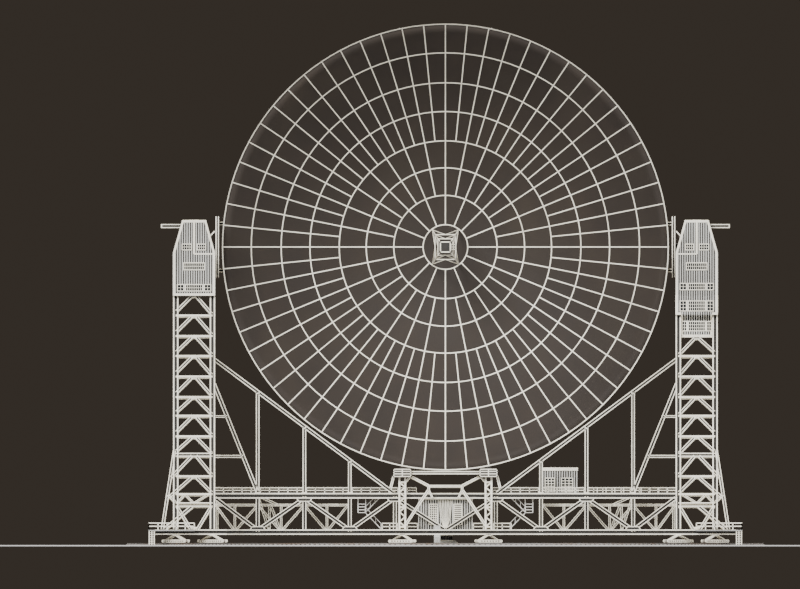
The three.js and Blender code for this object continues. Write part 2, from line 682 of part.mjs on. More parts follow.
function wheelBracing() {
  const pieces = [];
  const reach = COLUMN_X - 1.0;
  for (const [i, degrees] of WHEEL_TIES.entries()) {
    const angle = radians(degrees);
    const ends = [-COLUMN_X, COLUMN_X].map((x) => onWheel(x, WHEEL_MIDDLE, angle));
    pieces.push(bar(...ends, 0.6, 0.6 - stagger(i), Y_AXIS));
    const next = WHEEL_TIES[i + 1];
    if (next === undefined) continue;
    const lean = i % 2 === 0 ? 1 : -1;
    const from = onWheel(-lean * reach, WHEEL_MIDDLE, angle);
    const to = onWheel(lean * reach, WHEEL_MIDDLE, radians(next));
    pieces.push(bar(from, to, 0.45, 0.42 - stagger(i), Y_AXIS));
  }
  return [-1, 1].reduce((whole, side) => whole.subtract(wheelRing(side, GAP)), join(pieces));
}

function rackWheel(side) {
  const disc = cylinderAlongX(RACK_RADIUS, side * RACK_INNER_X, side * RACK_OUTER_X, 40);
  const trunnion = cylinderAlongX(TRUNNION_RADIUS, side * (RACK_INNER_X + 0.1), side * 40.3, 32);
  const stubs = [-4.0, 4.0].map((z) => {
    const [low, high] = [side * 36.9, side * (RACK_INNER_X + 0.2)].sort((a, b) => a - b);
    const middle = AXIS_HEIGHT + z;
    const stub = block([low, 0.9, middle - 0.3], [high, 2.2, middle + 0.3]);
    return stub.subtract(rimGirder(GAP));
  });
  return join([disc, trunnion, ...stubs]);
}

// Feed tower: a tapering lattice from the hub ring to the focus in the plane of the rim.

const FEED_STATIONS = [[19.4, 2.25, 2.97], [10.0, 1.76, 2.12], [0.9, 1.27, 1.4]];
const FEED_CORNERS = [[-1, -1], [1, -1], [1, 1], [-1, 1]];

function feedTower() {
  const pieces = [];
  const corner = (station, i) => {
    const [y, x, z] = FEED_STATIONS[station];
    const [sx, sz] = FEED_CORNERS[i % 4];
    return [sx * x, y, AXIS_HEIGHT + sz * z];
  };
  for (let i = 0; i < 4; i += 1) {
    const normal = i % 2 === 0 ? new THREE.Vector3(0, 0, 1) : X_AXIS;
    pieces.push(bar(corner(0, i), corner(1, i), 0.3, 0.3, normal));
    pieces.push(bar(corner(1, i), corner(2, i), 0.32, 0.32, normal));
    for (const station of [1, 2]) {
      const depth = 0.2 + stagger(pieces.length);
      const ends = [corner(station, i), corner(station, i + 1)];
      const middle = ends[0].map((value, axis) => (value + ends[1][axis]) / 2);
      pieces.push(bar(...ends, 0.24, depth, normal));
      pieces.push(bar(corner(station - 1, i), middle, 0.2, depth - 0.05, normal));
      pieces.push(bar(corner(station - 1, i + 1), middle, 0.2, depth - 0.08, normal));
    }
  }
  return join(pieces).subtract(behindDish(-GAP));
}

function focusBox() {
  const half = 0.96;
  const box = block([-half, -0.6, AXIS_HEIGHT - half], [half, 0.7, AXIS_HEIGHT + half]);
  const side = block([half - 0.1, -0.3, AXIS_HEIGHT - 0.49], [1.8, 0.5, AXIS_HEIGHT + 0.49]);
  const arms = FEED_CORNERS.map(([sx, sz]) => (
    bar([sx * 0.7, 0.2, AXIS_HEIGHT + sz * 0.7], [sx * 1.34, 0.9, AXIS_HEIGHT + sz * 1.47], 0.2, 0.2, Y_AXIS)
  ));
  const towerTop = block([-2, 0.777, AXIS_HEIGHT - 2], [2, 3, AXIS_HEIGHT + 2]);
  return join([box, side, ...arms]).subtract(towerTop);
}

place("outer_track", track(OUTER_TRACK_RADIUS, TRACK_SIDES), "rail");
place("second_track", track(SECOND_TRACK_RADIUS, TRACK_SIDES), "rail");
place("inner_track", track(INNER_TRACK_RADIUS, INNER_TRACK_SIDES), "rail");
place("pivot_base", pivotBase(), "concrete");

for (const [sideName, side] of SIDES) {
  for (const [endName, end] of ENDS) {
    place(`${sideName}_tower_${endName}_face`, towerFace(side, end), "steel");
    place(`${sideName}_tower_${endName}_foot`, towerFoot(side, end), "machine");
    place(`${sideName}_${endName}_platform`, endPlatform(side, end), "deck");
    place(`${sideName}_${endName}_raking_frame`, rakingFrame(side, end), "steel");
  }
  place(`${sideName}_tower_inner_side`, towerSide(side, TOWER_X - TOWER_HALF), "steel");
  place(`${sideName}_tower_outer_side`, towerSide(side, TOWER_X + TOWER_HALF), "steel");
  place(`${sideName}_tower_housing`, housing(side), "cladding");
  place(`${sideName}_jib`, jib(side), "steel");
  place(`${sideName}_floor_frame`, floorFrame(side), "steel");
  place(`${sideName}_walkway`, walkway(side), "deck");
  place(`${sideName}_roller_box`, rollerBox(side), "machine");
  place(`${sideName}_rack_wheel`, rackWheel(side), "machine");
  place(`${sideName}_wheel_girder`, wheelGirder(side), "steel");
}

for (const [endName, end] of ENDS) {
  place(`main_truss_${endName}`, mainTruss(end), "steel");
  place(`centre_frame_${endName}`, centreFace(end), "steel");
  place(`centre_foot_${endName}`, centreFoot(end), "machine");
  place(`head_beam_${endName}`, headBeam(end), "steel");
}

place("centre_floor", centreFloor(), "steel");
place("centre_cabin", cabin(), "cladding");
place("girder_hut", girderHut(), "cladding");
place("reflector", reflector(), "skin");
place("rim_girder", rimGirder().subtract(beforeDishBack(GAP)), "steel");
place("hub_drum", hubDrum().subtract(beforeDishBack(GAP)), "steel");
place("back_frame", backFrame(), "steel");
place("wheel_bracing", wheelBracing(), "steel");
place("feed_tower", feedTower(), "steel");
place("focus_box", focusBox(), "machine");

export default scene;
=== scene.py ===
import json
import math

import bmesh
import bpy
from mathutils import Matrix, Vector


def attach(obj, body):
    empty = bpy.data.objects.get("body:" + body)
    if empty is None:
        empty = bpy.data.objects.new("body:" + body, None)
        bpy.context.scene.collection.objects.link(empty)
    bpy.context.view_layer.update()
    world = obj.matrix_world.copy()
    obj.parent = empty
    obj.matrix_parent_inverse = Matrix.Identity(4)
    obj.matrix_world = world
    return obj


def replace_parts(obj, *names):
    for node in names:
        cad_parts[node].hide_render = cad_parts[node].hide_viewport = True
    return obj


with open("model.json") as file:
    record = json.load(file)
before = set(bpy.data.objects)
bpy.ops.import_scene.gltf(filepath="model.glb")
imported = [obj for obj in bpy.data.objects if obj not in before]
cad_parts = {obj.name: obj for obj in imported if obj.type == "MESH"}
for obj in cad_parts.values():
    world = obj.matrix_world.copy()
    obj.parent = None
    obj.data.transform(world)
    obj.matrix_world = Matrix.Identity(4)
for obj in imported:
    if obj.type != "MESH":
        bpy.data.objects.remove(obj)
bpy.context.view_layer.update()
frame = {"nodes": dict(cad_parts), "record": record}

# %% [markdown]
# This script dresses a 1:10 scale model of a steerable radio telescope. The solids that hold it
# together are already loaded. Each step below says what a piece is on the real telescope, how it
# could be made, and why it is made this way here.
#
# The real sizes are easier to read than the model's, so the script thinks in real metres and
# scales each finished mesh by one tenth. Heights count from the top of the rails, which stand
# 0.3 m above the ground.

SCALE = 0.1
RAIL_TOP = 0.3
AXIS_Z = 50.5
DISH_RADIUS = 38.1
FOCAL_LENGTH = 19.05
DISH_DEPTH = DISH_RADIUS ** 2 / (4 * FOCAL_LENGTH)
SKIN = 0.25
TOWER_X = 42.85
LEG_OFFSET = 3.13
GIRDER_Y = 5.0
GIRDER_TOP = 8.5
CHORD_TOP = 2.28
ENDS = (("front", -1), ("rear", 1))
SIDES = (("left", -1), ("right", 1))
X, Y, Z = Vector((1, 0, 0)), Vector((0, 1, 0)), Vector((0, 0, 1))

# %% [markdown]
# The camera comes first. The drawing is a straight front elevation with no perspective, so the
# camera is orthographic. The middle of the picture is a little left of the dish and below it.

# %% Camera
PICTURE_WIDTH_PX = 800
METRES_PER_PX = 0.1705
PICTURE_CENTRE = (-7.74, 42.4)
CAMERA_DISTANCE = 40.0

camera_data = bpy.data.cameras.new("camera")
camera_data.type = "ORTHO"
camera_data.ortho_scale = PICTURE_WIDTH_PX * METRES_PER_PX * SCALE
camera = bpy.data.objects.new("camera", camera_data)
bpy.context.scene.collection.objects.link(camera)
camera.location = (PICTURE_CENTRE[0] * SCALE, -CAMERA_DISTANCE, (PICTURE_CENTRE[1] + RAIL_TOP) * SCALE)
camera.rotation_euler = (math.radians(90), 0, 0)
camera_data.clip_start = 1
camera_data.clip_end = CAMERA_DISTANCE * 3
bpy.context.scene.camera = camera
print("camera stands", CAMERA_DISTANCE, "m away")

# %% [markdown]
# A pale floor and soft light. An area lamp would have to be huge to light something this wide
# evenly, so broad suns with wide angles give the soft shadows of a studio. The world is a plain dark
# brown, because white steel is only readable against something dark. The floor is a thin disc a
# little below the ground, so the undersides of the tracks never fight with it.

# %% Floor and light
FLOOR_RADIUS = 14.0
FLOOR_THICKNESS = 0.02
FLOOR_DROP = 0.002
FLOOR_PAINT = (0.56, 0.55, 0.53)
WORLD_TONE = (0.04, 0.0325, 0.0255)


def stage_floor():
    mesh = bpy.data.meshes.new("floor")
    bm = bmesh.new()
    bmesh.ops.create_cone(
        bm, cap_ends=True, segments=128, radius1=FLOOR_RADIUS, radius2=FLOOR_RADIUS,
        depth=FLOOR_THICKNESS, matrix=Matrix.Translation((0, 0, -FLOOR_THICKNESS / 2)),
    )
    bm.to_mesh(mesh)
    bm.free()
    floor = bpy.data.objects.new("floor", mesh)
    bpy.context.scene.collection.objects.link(floor)
    floor.location.z = -FLOOR_DROP
    paint = bpy.data.materials.new("floor_paint")
    paint.use_nodes = True
    shader = paint.node_tree.nodes["Principled BSDF"]
    shader.inputs["Base Color"].default_value = (*FLOOR_PAINT, 1)
    shader.inputs["Roughness"].default_value = 0.8
    mesh.materials.append(paint)


def sun(name, strength, angle, tilt, turn):
    data = bpy.data.lights.new(name, "SUN")
    data.energy = strength
    data.angle = math.radians(angle)
    lamp = bpy.data.objects.new(name, data)
    lamp.rotation_euler = (math.radians(tilt), 0, math.radians(turn))
    bpy.context.scene.collection.objects.link(lamp)


stage_floor()
sun("key_sun", 4.9, 30, 56, -28)
sun("fill_sun", 2.4, 60, 66, 40)
sun("back_sun", 2.4, 40, 50, 170)
world = bpy.data.worlds.new("studio")
world.use_nodes = True
world.node_tree.nodes["Background"].inputs["Color"].default_value = (*WORLD_TONE, 1)
bpy.context.scene.world = world
print("floor radius", FLOOR_RADIUS, "m")

# %% [markdown]
# Finishes. Outdoor steel is never one flat colour: the paint bleaches unevenly, rain draws grime
# down the faces, and edges chalk. Image textures could show that, but noise in Object coordinates
# never stretches and needs no files. First a helper for one noise, and one for a ramp between two
# tones, since every finish here is built from those.

# %% Noise and tone helpers
def new_paint(name):
    paint = bpy.data.materials.new(name)
    paint.use_nodes = True
    place = paint.node_tree.nodes.new("ShaderNodeTexCoord")
    return paint, paint.node_tree, place.outputs["Object"]


def noise(tree, vector, scale, detail, roughness=0.5):
    texture = tree.nodes.new("ShaderNodeTexNoise")
    texture.inputs["Scale"].default_value = scale
    texture.inputs["Detail"].default_value = detail
    texture.inputs["Roughness"].default_value = roughness
    tree.links.new(vector, texture.inputs["Vector"])
    return texture.outputs["Fac"]


def tones(tree, amount, stops):
    """Colours the surface from an amount, between two stops of (position, tone)."""
    ramp = tree.nodes.new("ShaderNodeValToRGB")
    for element, (position, tone) in zip(ramp.color_ramp.elements, stops):
        element.position = position
        element.color = (*tone, 1)
    tree.links.new(amount, ramp.inputs["Fac"])
    tree.links.new(ramp.outputs["Color"], tree.nodes["Principled BSDF"].inputs["Base Color"])


print("helpers ready")

# %% [markdown]
# One function then makes every paint. It mixes two tones by a noise that is squeezed sideways, so
# that it runs downwards like rain, times a broad blotch. The rain also drives the roughness, and a
# fine grain drives a small bump.

# %% A weathered paint
CLEAN_BELOW, GRIMY_ABOVE = 0.16, 0.46
GRAIN_SCALE = 60
GRAIN_HEIGHT = 0.004
GRAIN_STRENGTH = 0.15


def weathered(name, tone, dark, roughness, metallic=0.0, streak=6.0, scale=2.0):
    paint, tree, place = new_paint(name)
    nodes, links = tree.nodes, tree.links
    shader = nodes["Principled BSDF"]
    shader.inputs["Metallic"].default_value = metallic
    stretch = nodes.new("ShaderNodeMapping")
    stretch.inputs["Scale"].default_value = (streak, streak, 1.0)
    links.new(place, stretch.inputs["Vector"])
    rain = noise(tree, stretch.outputs["Vector"], scale, 6, 0.6)
    blotch = noise(tree, place, scale * 0.6, 4)
    amount = nodes.new("ShaderNodeMath")
    amount.operation = "MULTIPLY"
    links.new(rain, amount.inputs[0])
    links.new(blotch, amount.inputs[1])
    tones(tree, amount.outputs["Value"], ((CLEAN_BELOW, tone), (GRIMY_ABOVE, dark)))
    gloss = nodes.new("ShaderNodeMapRange")
    gloss.inputs["To Min"].default_value = roughness - 0.1
    gloss.inputs["To Max"].default_value = roughness + 0.15
    links.new(rain, gloss.inputs["Value"])
    links.new(gloss.outputs["Result"], shader.inputs["Roughness"])
    relief = nodes.new("ShaderNodeBump")
    relief.inputs["Strength"].default_value = GRAIN_STRENGTH
    relief.inputs["Distance"].default_value = GRAIN_HEIGHT
    links.new(noise(tree, place, GRAIN_SCALE, 3), relief.inputs["Height"])
    links.new(relief.outputs["Normal"], shader.inputs["Normal"])
    return paint


WHITE_STEEL = weathered("white_steel", (0.95, 0.91, 0.78), (0.68, 0.63, 0.51), 0.5)
SEAM_WHITE = weathered("seam_white", (0.96, 0.92, 0.79), (0.76, 0.71, 0.59), 0.45)
DISH_SKIN = weathered(
    "dish_skin", (0.021, 0.0145, 0.0105), (0.036, 0.026, 0.018), 0.78, streak=1.5, scale=0.9,
)
DISH_BACK = weathered("dish_back", (0.11, 0.098, 0.082), (0.17, 0.15, 0.125), 0.65, scale=0.9)
# The cladding sheet is painted near black between its light ribs: painted shade for the valleys of the
# corrugation.
CLADDING_PAINTED_SHADE = weathered("cladding", (0.045, 0.042, 0.036), (0.022, 0.02, 0.017), 0.65, streak=9)
RIB_PAINT = weathered("rib_paint", (0.66, 0.655, 0.62), (0.42, 0.41, 0.37), 0.5, streak=9)
# The webs are painted nearly black: painted shade for the shadow in the sunk webs of the members.
WEB_PAINTED_SHADE = weathered("web_painted_shade", (0.014, 0.0125, 0.011), (0.03, 0.026, 0.021), 0.7)
MACHINE_GREY = weathered("machine_grey", (0.55, 0.55, 0.535), (0.32, 0.31, 0.28), 0.5)
# Near-black iron, also used as painted shade: for the unlit inside of the roller boxes and the gap in
# the rack wheels.
IRON_AND_PAINTED_SHADE = weathered("iron_and_painted_shade", (0.03, 0.029, 0.028), (0.06, 0.046, 0.036), 0.6, 0.3)
RAIL_STEEL = weathered("rail_steel", (0.3, 0.29, 0.28), (0.24, 0.17, 0.12), 0.4, 0.8)
SLEEPER = weathered("sleeper", (0.42, 0.4, 0.37), (0.26, 0.24, 0.21), 0.85)
GRATING = weathered("grating", (0.4, 0.4, 0.39), (0.26, 0.25, 0.23), 0.6, 0.3)
GRATING_LIGHT = weathered("grating_light", (0.68, 0.67, 0.64), (0.42, 0.41, 0.38), 0.55, 0.1)
CONCRETE = weathered("cast_concrete", (0.7, 0.68, 0.62), (0.5, 0.48, 0.43), 0.9)
print("paints:", len(bpy.data.materials))

# %% [markdown]
# The windows are small and look into unlit rooms. Clear glass with a room behind it would cost much
# and show nothing, so the panes are a nearly black surface with a cloudy tone. Their reflection is
# kept weak, or the bright floor would show in them and turn them grey.

# %% Dark window glass
def window_glass():
    glass, tree, place = new_paint("window_glass")
    tones(tree, noise(tree, place, 1.7, 2), ((0.0, (0.006, 0.007, 0.008)), (1.0, (0.02, 0.022, 0.025))))
    shader = tree.nodes["Principled BSDF"]
    shader.inputs["Roughness"].default_value = 0.5
    shader.inputs["Specular IOR Level"].default_value = 0.15
    return glass


WINDOW_GLASS = window_glass()
print("glass ready")

# %% [markdown]
# Every new piece is a bmesh in real metres. Most of the telescope is bars: a bar is a unit cube
# from bmesh.ops.create_cube, stretched and turned by one matrix. The helper `finish_piece` scales
# the mesh to the model, lifts it on to the rails, and hands it to its body, so each object stays
# at the origin. Round things are a section spun once round an axis.

# %% Helpers for bars, blocks and finished pieces
def bar(bm, start, end, width, depth=None, normal=Y):
    """A bar from start to end, `depth` thick along `normal` and `width` across it."""
    start, end = Vector(start), Vector(end)
    along = end - start
    length = along.length
    along.normalize()
    side = normal.cross(along)
    if side.length < 1e-4:
        side = along.orthogonal()
    side.normalize()
    out = along.cross(side)
    turn = Matrix((side, out, along)).transposed().to_4x4()
    stretch = Matrix.Diagonal((width, depth or width, length, 1))
    bmesh.ops.create_cube(bm, size=1, matrix=Matrix.Translation((start + end) / 2) @ turn @ stretch)


def block(bm, low, high):
    low, high = Vector(low), Vector(high)
    size = high - low
    stretch = Matrix.Diagonal((abs(size.x), abs(size.y), abs(size.z), 1))
    bmesh.ops.create_cube(bm, size=1, matrix=Matrix.Translation((low + high) / 2) @ stretch)


def drum(bm, centre, axis, radius, length, sides=24):
    turn = axis.to_track_quat("Z", "Y").to_matrix().to_4x4()
    bmesh.ops.create_cone(
        bm, cap_ends=True, segments=sides, radius1=radius, radius2=radius, depth=length,
        matrix=Matrix.Translation(centre) @ turn,
    )


def finish_piece(bm, name, body, material, smooth=False):
    """Turns a bmesh in real metres into a piece of the model, on its body and with its material."""
    bmesh.ops.scale(bm, vec=(SCALE,) * 3, verts=bm.verts)
    bmesh.ops.translate(bm, vec=(0, 0, RAIL_TOP * SCALE), verts=bm.verts)
    mesh = bpy.data.meshes.new(name)
    bm.to_mesh(mesh)
    bm.free()
    if smooth:
        mesh.shade_smooth()
    mesh.materials.append(material)
    piece = bpy.data.objects.new(name, mesh)
    bpy.context.scene.collection.objects.link(piece)
    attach(piece, body)
    print(name, len(mesh.polygons), "faces")
    return piece


def round_ring(bm, profile, steps, centre, axis):
    """Spins a closed profile of points once round an axis."""
    verts = [bm.verts.new(point) for point in profile]
    edges = [bm.edges.new((a, b)) for a, b in zip(verts, verts[1:] + verts[:1])]
    bmesh.ops.spin(
        bm, geom=verts + edges, cent=centre, axis=axis, angle=math.tau, steps=steps, use_merge=True,
    )


print("bars, blocks, drums and rings ready")

# %% [markdown]
# The reflector is a paraboloid, 76.2 m across and a quarter as deep, welded from steel sheets. Its
# curve is one formula, so the section is drawn once, front and back, and spun about the dish's own
# axis. The front is dark, the back lighter, so they are two pieces of the same skin.

# %% Reflector skin
def dish_y(r):
    return DISH_DEPTH * (1 - (r / DISH_RADIUS) ** 2)


DISH_CENTRE = Vector((0, 0, AXIS_Z))
SKIN_STEPS = 128
SKIN_RINGS = 24
SKIN_HOLE = 0.02


def dish_shell(name, near, far, material):
    """One layer of the skin, from `near` to `far` behind the curve."""
    bm = bmesh.new()
    span = DISH_RADIUS - SKIN_HOLE
    radii = [SKIN_HOLE + span * i / SKIN_RINGS for i in range(SKIN_RINGS + 1)]
    front = [(r, dish_y(r) + near, AXIS_Z) for r in radii]
    back = [(r, dish_y(r) + far, AXIS_Z) for r in reversed(radii)]
    round_ring(bm, front + back, SKIN_STEPS, DISH_CENTRE, Y)
    bmesh.ops.remove_doubles(bm, verts=bm.verts, dist=1e-4)
    bmesh.ops.recalc_face_normals(bm, faces=bm.faces)
    return finish_piece(bm, name, "dish", material, smooth=True)


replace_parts(dish_shell("reflector_front", 0.0, SKIN * 0.5, DISH_SKIN), "reflector")
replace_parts(dish_shell("reflector_back", SKIN * 0.5, SKIN, DISH_BACK), "reflector")

# %% [markdown]
# The skin shows as a net of light seams: eight rings, and straight seams that double in number
# twice on the way out, so that no sheet gets too wide. Each seam is a raised batten. Painted lines
# would be flat and cast no shadow. The rings are spun, and a straight seam is a chain of short bars
# that follows the curve.

# %% Seams of the reflector
SEAM_RINGS = (3.8, 8.8, 13.5, 18.1, 23.1, 28.0, 33.1, 38.0)
SEAM_FANS = ((16, 3.8, 8.8), (32, 8.8, 18.1), (64, 18.1, 38.0))
SEAM_WIDTH = 0.2
SEAM_HEIGHT = 0.08
SEAM_ROOT = 0.05
SEAM_SINK = 0.03
SEAM_STEP = 2.5


def seam_rings(bm):
    half = SEAM_WIDTH / 2
    for r in SEAM_RINGS:
        corners = [(r + x, y) for x, y in (
            (-half, SEAM_ROOT), (half, SEAM_ROOT), (half, -SEAM_HEIGHT), (-half, -SEAM_HEIGHT),
        )]
        profile = [(x, dish_y(min(x, DISH_RADIUS)) + y, AXIS_Z) for x, y in corners]
        round_ring(bm, profile, SKIN_STEPS, DISH_CENTRE, Y)


def seam_fan(bm, count, inner, outer):
    """Straight seams between two of the rings."""
    lift = Y * (SEAM_HEIGHT / 2 - SEAM_SINK)
    pieces = max(2, round((outer - inner) / SEAM_STEP))
    radii = [inner + (outer - inner) * i / pieces for i in range(pieces + 1)]
    for k in range(count):
        angle = math.tau * k / count
        out = Vector((math.cos(angle), 0, math.sin(angle)))
        points = [DISH_CENTRE + out * r + Y * dish_y(r) - lift for r in radii]
        for start, end in zip(points, points[1:]):
            bar(bm, start, end, SEAM_HEIGHT, SEAM_WIDTH, Y.cross(out))


def seam_net():
    bm = bmesh.new()
    seam_rings(bm)
    for count, inner, outer in SEAM_FANS:
        seam_fan(bm, count, inner, outer)
    return finish_piece(bm, "dish_seams", "dish", SEAM_WHITE)


seam_net()

# %% [markdown]
# Behind the skin a space frame carries it: twenty-four ribs, each a truss that is deepest at the
# hub, tied by rings. The solid model has only its main bars. Here the whole lattice is made in one
# loop, because every rib is the same rib turned.

# %% Back frame lattice
RIB_COUNT = 24
RIB_LINE = ((2.6, 26.2), (20.0, 19.5), (37.4, 2.0))
RIB_STATIONS = (3.3, 7.5, 11.6, 15.8, 20.0, 24.3, 28.7, 33.0, 36.6)
MAIN_CHORD, LESSER_CHORD = 0.34, 0.24
POST_BAR, RING_BAR, MAIN_RING_BAR, LACE_BAR, CROSS_BAR = 0.18, 0.16, 0.22, 0.16, 0.12
MAIN_RING = 4


def rib_depth(r):
    """How far behind the rim's plane the back of a rib lies."""
    for (r1, y1), (r2, y2) in zip(RIB_LINE, RIB_LINE[1:]):
        if r <= r2:
            return y1 + (y2 - y1) * (r - r1) / (r2 - r1)
    return RIB_LINE[-1][1]


def on_rib(k, r, y):
    angle = math.tau * k / RIB_COUNT
    return Vector((r * math.cos(angle), y, AXIS_Z + r * math.sin(angle)))


def back_lattice():
    bm = bmesh.new()
    for k in range(RIB_COUNT):
        angle = math.tau * k / RIB_COUNT
        across = Vector((math.sin(angle), 0, -math.cos(angle)))
        chord = MAIN_CHORD if k % 2 == 0 else LESSER_CHORD
        for i, r in enumerate(RIB_STATIONS):
            top = on_rib(k, r, rib_depth(r))
            beside = on_rib(k + 1, r, rib_depth(r))
            bar(bm, top, on_rib(k, r, dish_y(r) + SKIN), POST_BAR, POST_BAR, across)
            bar(bm, top, beside, MAIN_RING_BAR if i == MAIN_RING else RING_BAR, RING_BAR, X)
            if i + 1 < len(RIB_STATIONS):
                r2 = RIB_STATIONS[i + 1]
                next_top = on_rib(k, r2, rib_depth(r2))
                bar(bm, top, next_top, chord, chord, across)
                bar(bm, on_rib(k, r2, dish_y(r2) + SKIN), top, LACE_BAR, LACE_BAR, across)
                if k % 2 == 0:
                    bar(bm, top, on_rib(k + 1, r2, rib_depth(r2)), CROSS_BAR, CROSS_BAR, across)
                else:
                    bar(bm, next_top, beside, CROSS_BAR, CROSS_BAR, across)
    return finish_piece(bm, "back_lattice", "dish", WHITE_STEEL)


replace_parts(back_lattice(), "back_frame")

# %% [markdown]
# The rim is a ring girder: four rings laced together. It replaces the plain solid ring, which
# would look like a tyre. The rings are spun, and the lacing is one bay that is placed by its angle.

# %% Rim girder
RIM_IN, RIM_OUT, RIM_BACK = 36.75, 37.93, 2.5
RIM_BAYS = 128
RIM_GAP = 0.1
RIM_LIMIT = 38.04
RIM_TUBE_HALF = 0.11
RIM_LACE = 0.1


def rim_lattice():
    bm = bmesh.new()
    front_in, front_out = (dish_y(r) + SKIN + RIM_GAP for r in (RIM_IN, RIM_OUT))
    corners = ((RIM_IN, front_in), (RIM_OUT, front_out), (RIM_OUT, RIM_BACK), (RIM_IN, RIM_BACK))
    for r, y in corners:
        square = [
            (min(r + dr * RIM_TUBE_HALF, RIM_LIMIT), y + dy * RIM_TUBE_HALF, AXIS_Z)
            for dr, dy in ((-1, -1), (1, -1), (1, 1), (-1, 1))
        ]
        round_ring(bm, square, RIM_BAYS, DISH_CENTRE, Y)

    def at(k, corner):
        angle = math.tau * k / RIM_BAYS
        r, y = corners[corner % 4]
        return Vector((r * math.cos(angle), y, AXIS_Z + r * math.sin(angle)))

    for k in range(RIM_BAYS):
        for corner in range(4):
            bar(bm, at(k, corner), at(k, corner + 1), RIM_LACE)
        flip = k % 2
        for corner in (1, 2, 3):
            bar(bm, at(k, corner + flip), at(k + 1, corner + 1 - flip), RIM_LACE)
    return finish_piece(bm, "rim_lattice", "dish", WHITE_STEEL)


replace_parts(rim_lattice(), "rim_girder")

# %% [markdown]
# Two half-round wheel girders hang behind the dish and roll over the centre supports. Each is a
# curved box of four chords with a running band on the outside, spoked to the skin. A curved box
# could be one bent sheet, but the real one is open, so every bay is short straight bars.

# %% Wheel girders
COLUMN_X = 7.35
WHEEL_OUT, WHEEL_IN, WHEEL_HALF = 37.5, 35.3, 0.6
OUT_CHORD, IN_CHORD = WHEEL_OUT - 0.3, WHEEL_IN + 0.13
CHORD_BAR = 0.26
BAND, BAND_WIDTH, BAND_THICK = WHEEL_OUT - 0.09, 1.2, 0.16
WHEEL_BAYS = 56
WHEEL_FIRST, WHEEL_LAST = math.radians(5.5), math.radians(174.5)


def on_wheel(x, r, angle):
    return Vector((x, r * math.sin(angle), AXIS_Z - r * math.cos(angle)))


def wheel_bay(bm, side, a, b, odd):
    """The chords, the band and the lacing of one wheel girder between two angles."""
    middle = side * COLUMN_X
    faces = (middle - WHEEL_HALF + 0.13, middle + WHEEL_HALF - 0.13)
    bar(bm, on_wheel(middle, BAND, a), on_wheel(middle, BAND, b), BAND_THICK, BAND_WIDTH, X)
    lace = (OUT_CHORD, IN_CHORD) if odd else (IN_CHORD, OUT_CHORD)
    for x in faces:
        for r in (OUT_CHORD, IN_CHORD):
            bar(bm, on_wheel(x, r, a), on_wheel(x, r, b), CHORD_BAR, CHORD_BAR, X)
        bar(bm, on_wheel(x, OUT_CHORD, a), on_wheel(x, IN_CHORD, a), 0.16, 0.16, X)
        bar(bm, on_wheel(x, lace[0], a), on_wheel(x, lace[1], b), 0.14, 0.14, X)
    bar(bm, on_wheel(faces[0], IN_CHORD, a), on_wheel(faces[1], IN_CHORD, b), 0.12)


print("wheel girders:", WHEEL_BAYS, "bays each, radius", WHEEL_OUT, "m")

# %% [markdown]
# Laced spokes hold the wheels to the skin. Between the two wheels run five ladders of bracing, with
# crosses from each to the next.

# %% Spokes and bracing
SPOKES = ((5.2, 80), (14.5, 60), (27.0, 35))
SPOKE_HALF = 0.3
SPOKE_LACES = 9
BRACE_DEGREES = (18, 54, 90, 126, 162)
BRACE_PANELS = 6


def spoke(bm, x, root, angle):
    """A laced pair of bars from the skin to the wheel."""
    tip, start = on_wheel(x, WHEEL_IN + 0.2, angle), root + X * x
    for offset in (-SPOKE_HALF, SPOKE_HALF):
        bar(bm, start + X * offset, tip + X * offset, 0.16)
    for i in range(SPOKE_LACES):
        a = start.lerp(tip, i / SPOKE_LACES)
        b = start.lerp(tip, (i + 1) / SPOKE_LACES)
        flip = SPOKE_HALF if i % 2 else -SPOKE_HALF
        bar(bm, a + X * flip, b - X * flip, 0.1)


def wheel_braces(bm):
    low, high = WHEEL_IN + 0.3, WHEEL_OUT - 0.5
    panel = 2 * COLUMN_X / BRACE_PANELS
    for i, degrees in enumerate(BRACE_DEGREES):
        angle = math.radians(degrees)
        for r in (low, high):
            bar(bm, on_wheel(-COLUMN_X, r, angle), on_wheel(COLUMN_X, r, angle), 0.28)
        for j in range(BRACE_PANELS):
            x = -COLUMN_X + j * panel
            r1, r2 = (low, high) if j % 2 else (high, low)
            bar(bm, on_wheel(x, r1, angle), on_wheel(x + panel, r2, angle), 0.14)
        if degrees == BRACE_DEGREES[-1]:
            break
        next_angle = math.radians(BRACE_DEGREES[i + 1])
        reach, r = COLUMN_X - 0.8, WHEEL_IN + 1.1
        for x in (-reach, reach):
            bar(bm, on_wheel(x, r, angle), on_wheel(-x, r, next_angle), 0.26)


def wheel_lattice():
    bm = bmesh.new()
    step = (WHEEL_LAST - WHEEL_FIRST) / WHEEL_BAYS
    for side in (-1, 1):
        for i in range(WHEEL_BAYS):
            wheel_bay(bm, side, WHEEL_FIRST + i * step, WHEEL_FIRST + (i + 1) * step, i % 2)
        for z, degrees in SPOKES:
            root_y = dish_y(math.hypot(COLUMN_X, z)) + SKIN
            spoke(bm, side * COLUMN_X, Vector((0, root_y, AXIS_Z - z)), math.radians(degrees))
            spoke(bm, side * COLUMN_X, Vector((0, root_y, AXIS_Z + z)), math.radians(180 - degrees))
    wheel_braces(bm)
    return finish_piece(bm, "wheel_lattice", "dish", WHITE_STEEL)


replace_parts(wheel_lattice(), "left_wheel_girder", "right_wheel_girder", "wheel_bracing")

# %% [markdown]
# The steelwork is built-up members: each has two bright flanges at its edges and a web sunk in
# shadow between them, which is why the drawing shows every strut as two white lines. A plain bar
# would look like one flat strip. So a member here is two flange bars and a web bar painted nearly
# black, as painted shade of the sunk web. They are kept in two meshes because they take different
# paint. A gusset where diagonals meet a chord is a plate with bright edges and its middle in the
# same painted shade.

# %% Built-up members
WEB_SHARE = 0.3
GUSSET_RISE, GUSSET_SLANT, GUSSET_EDGE = 0.5, 0.4, 0.14


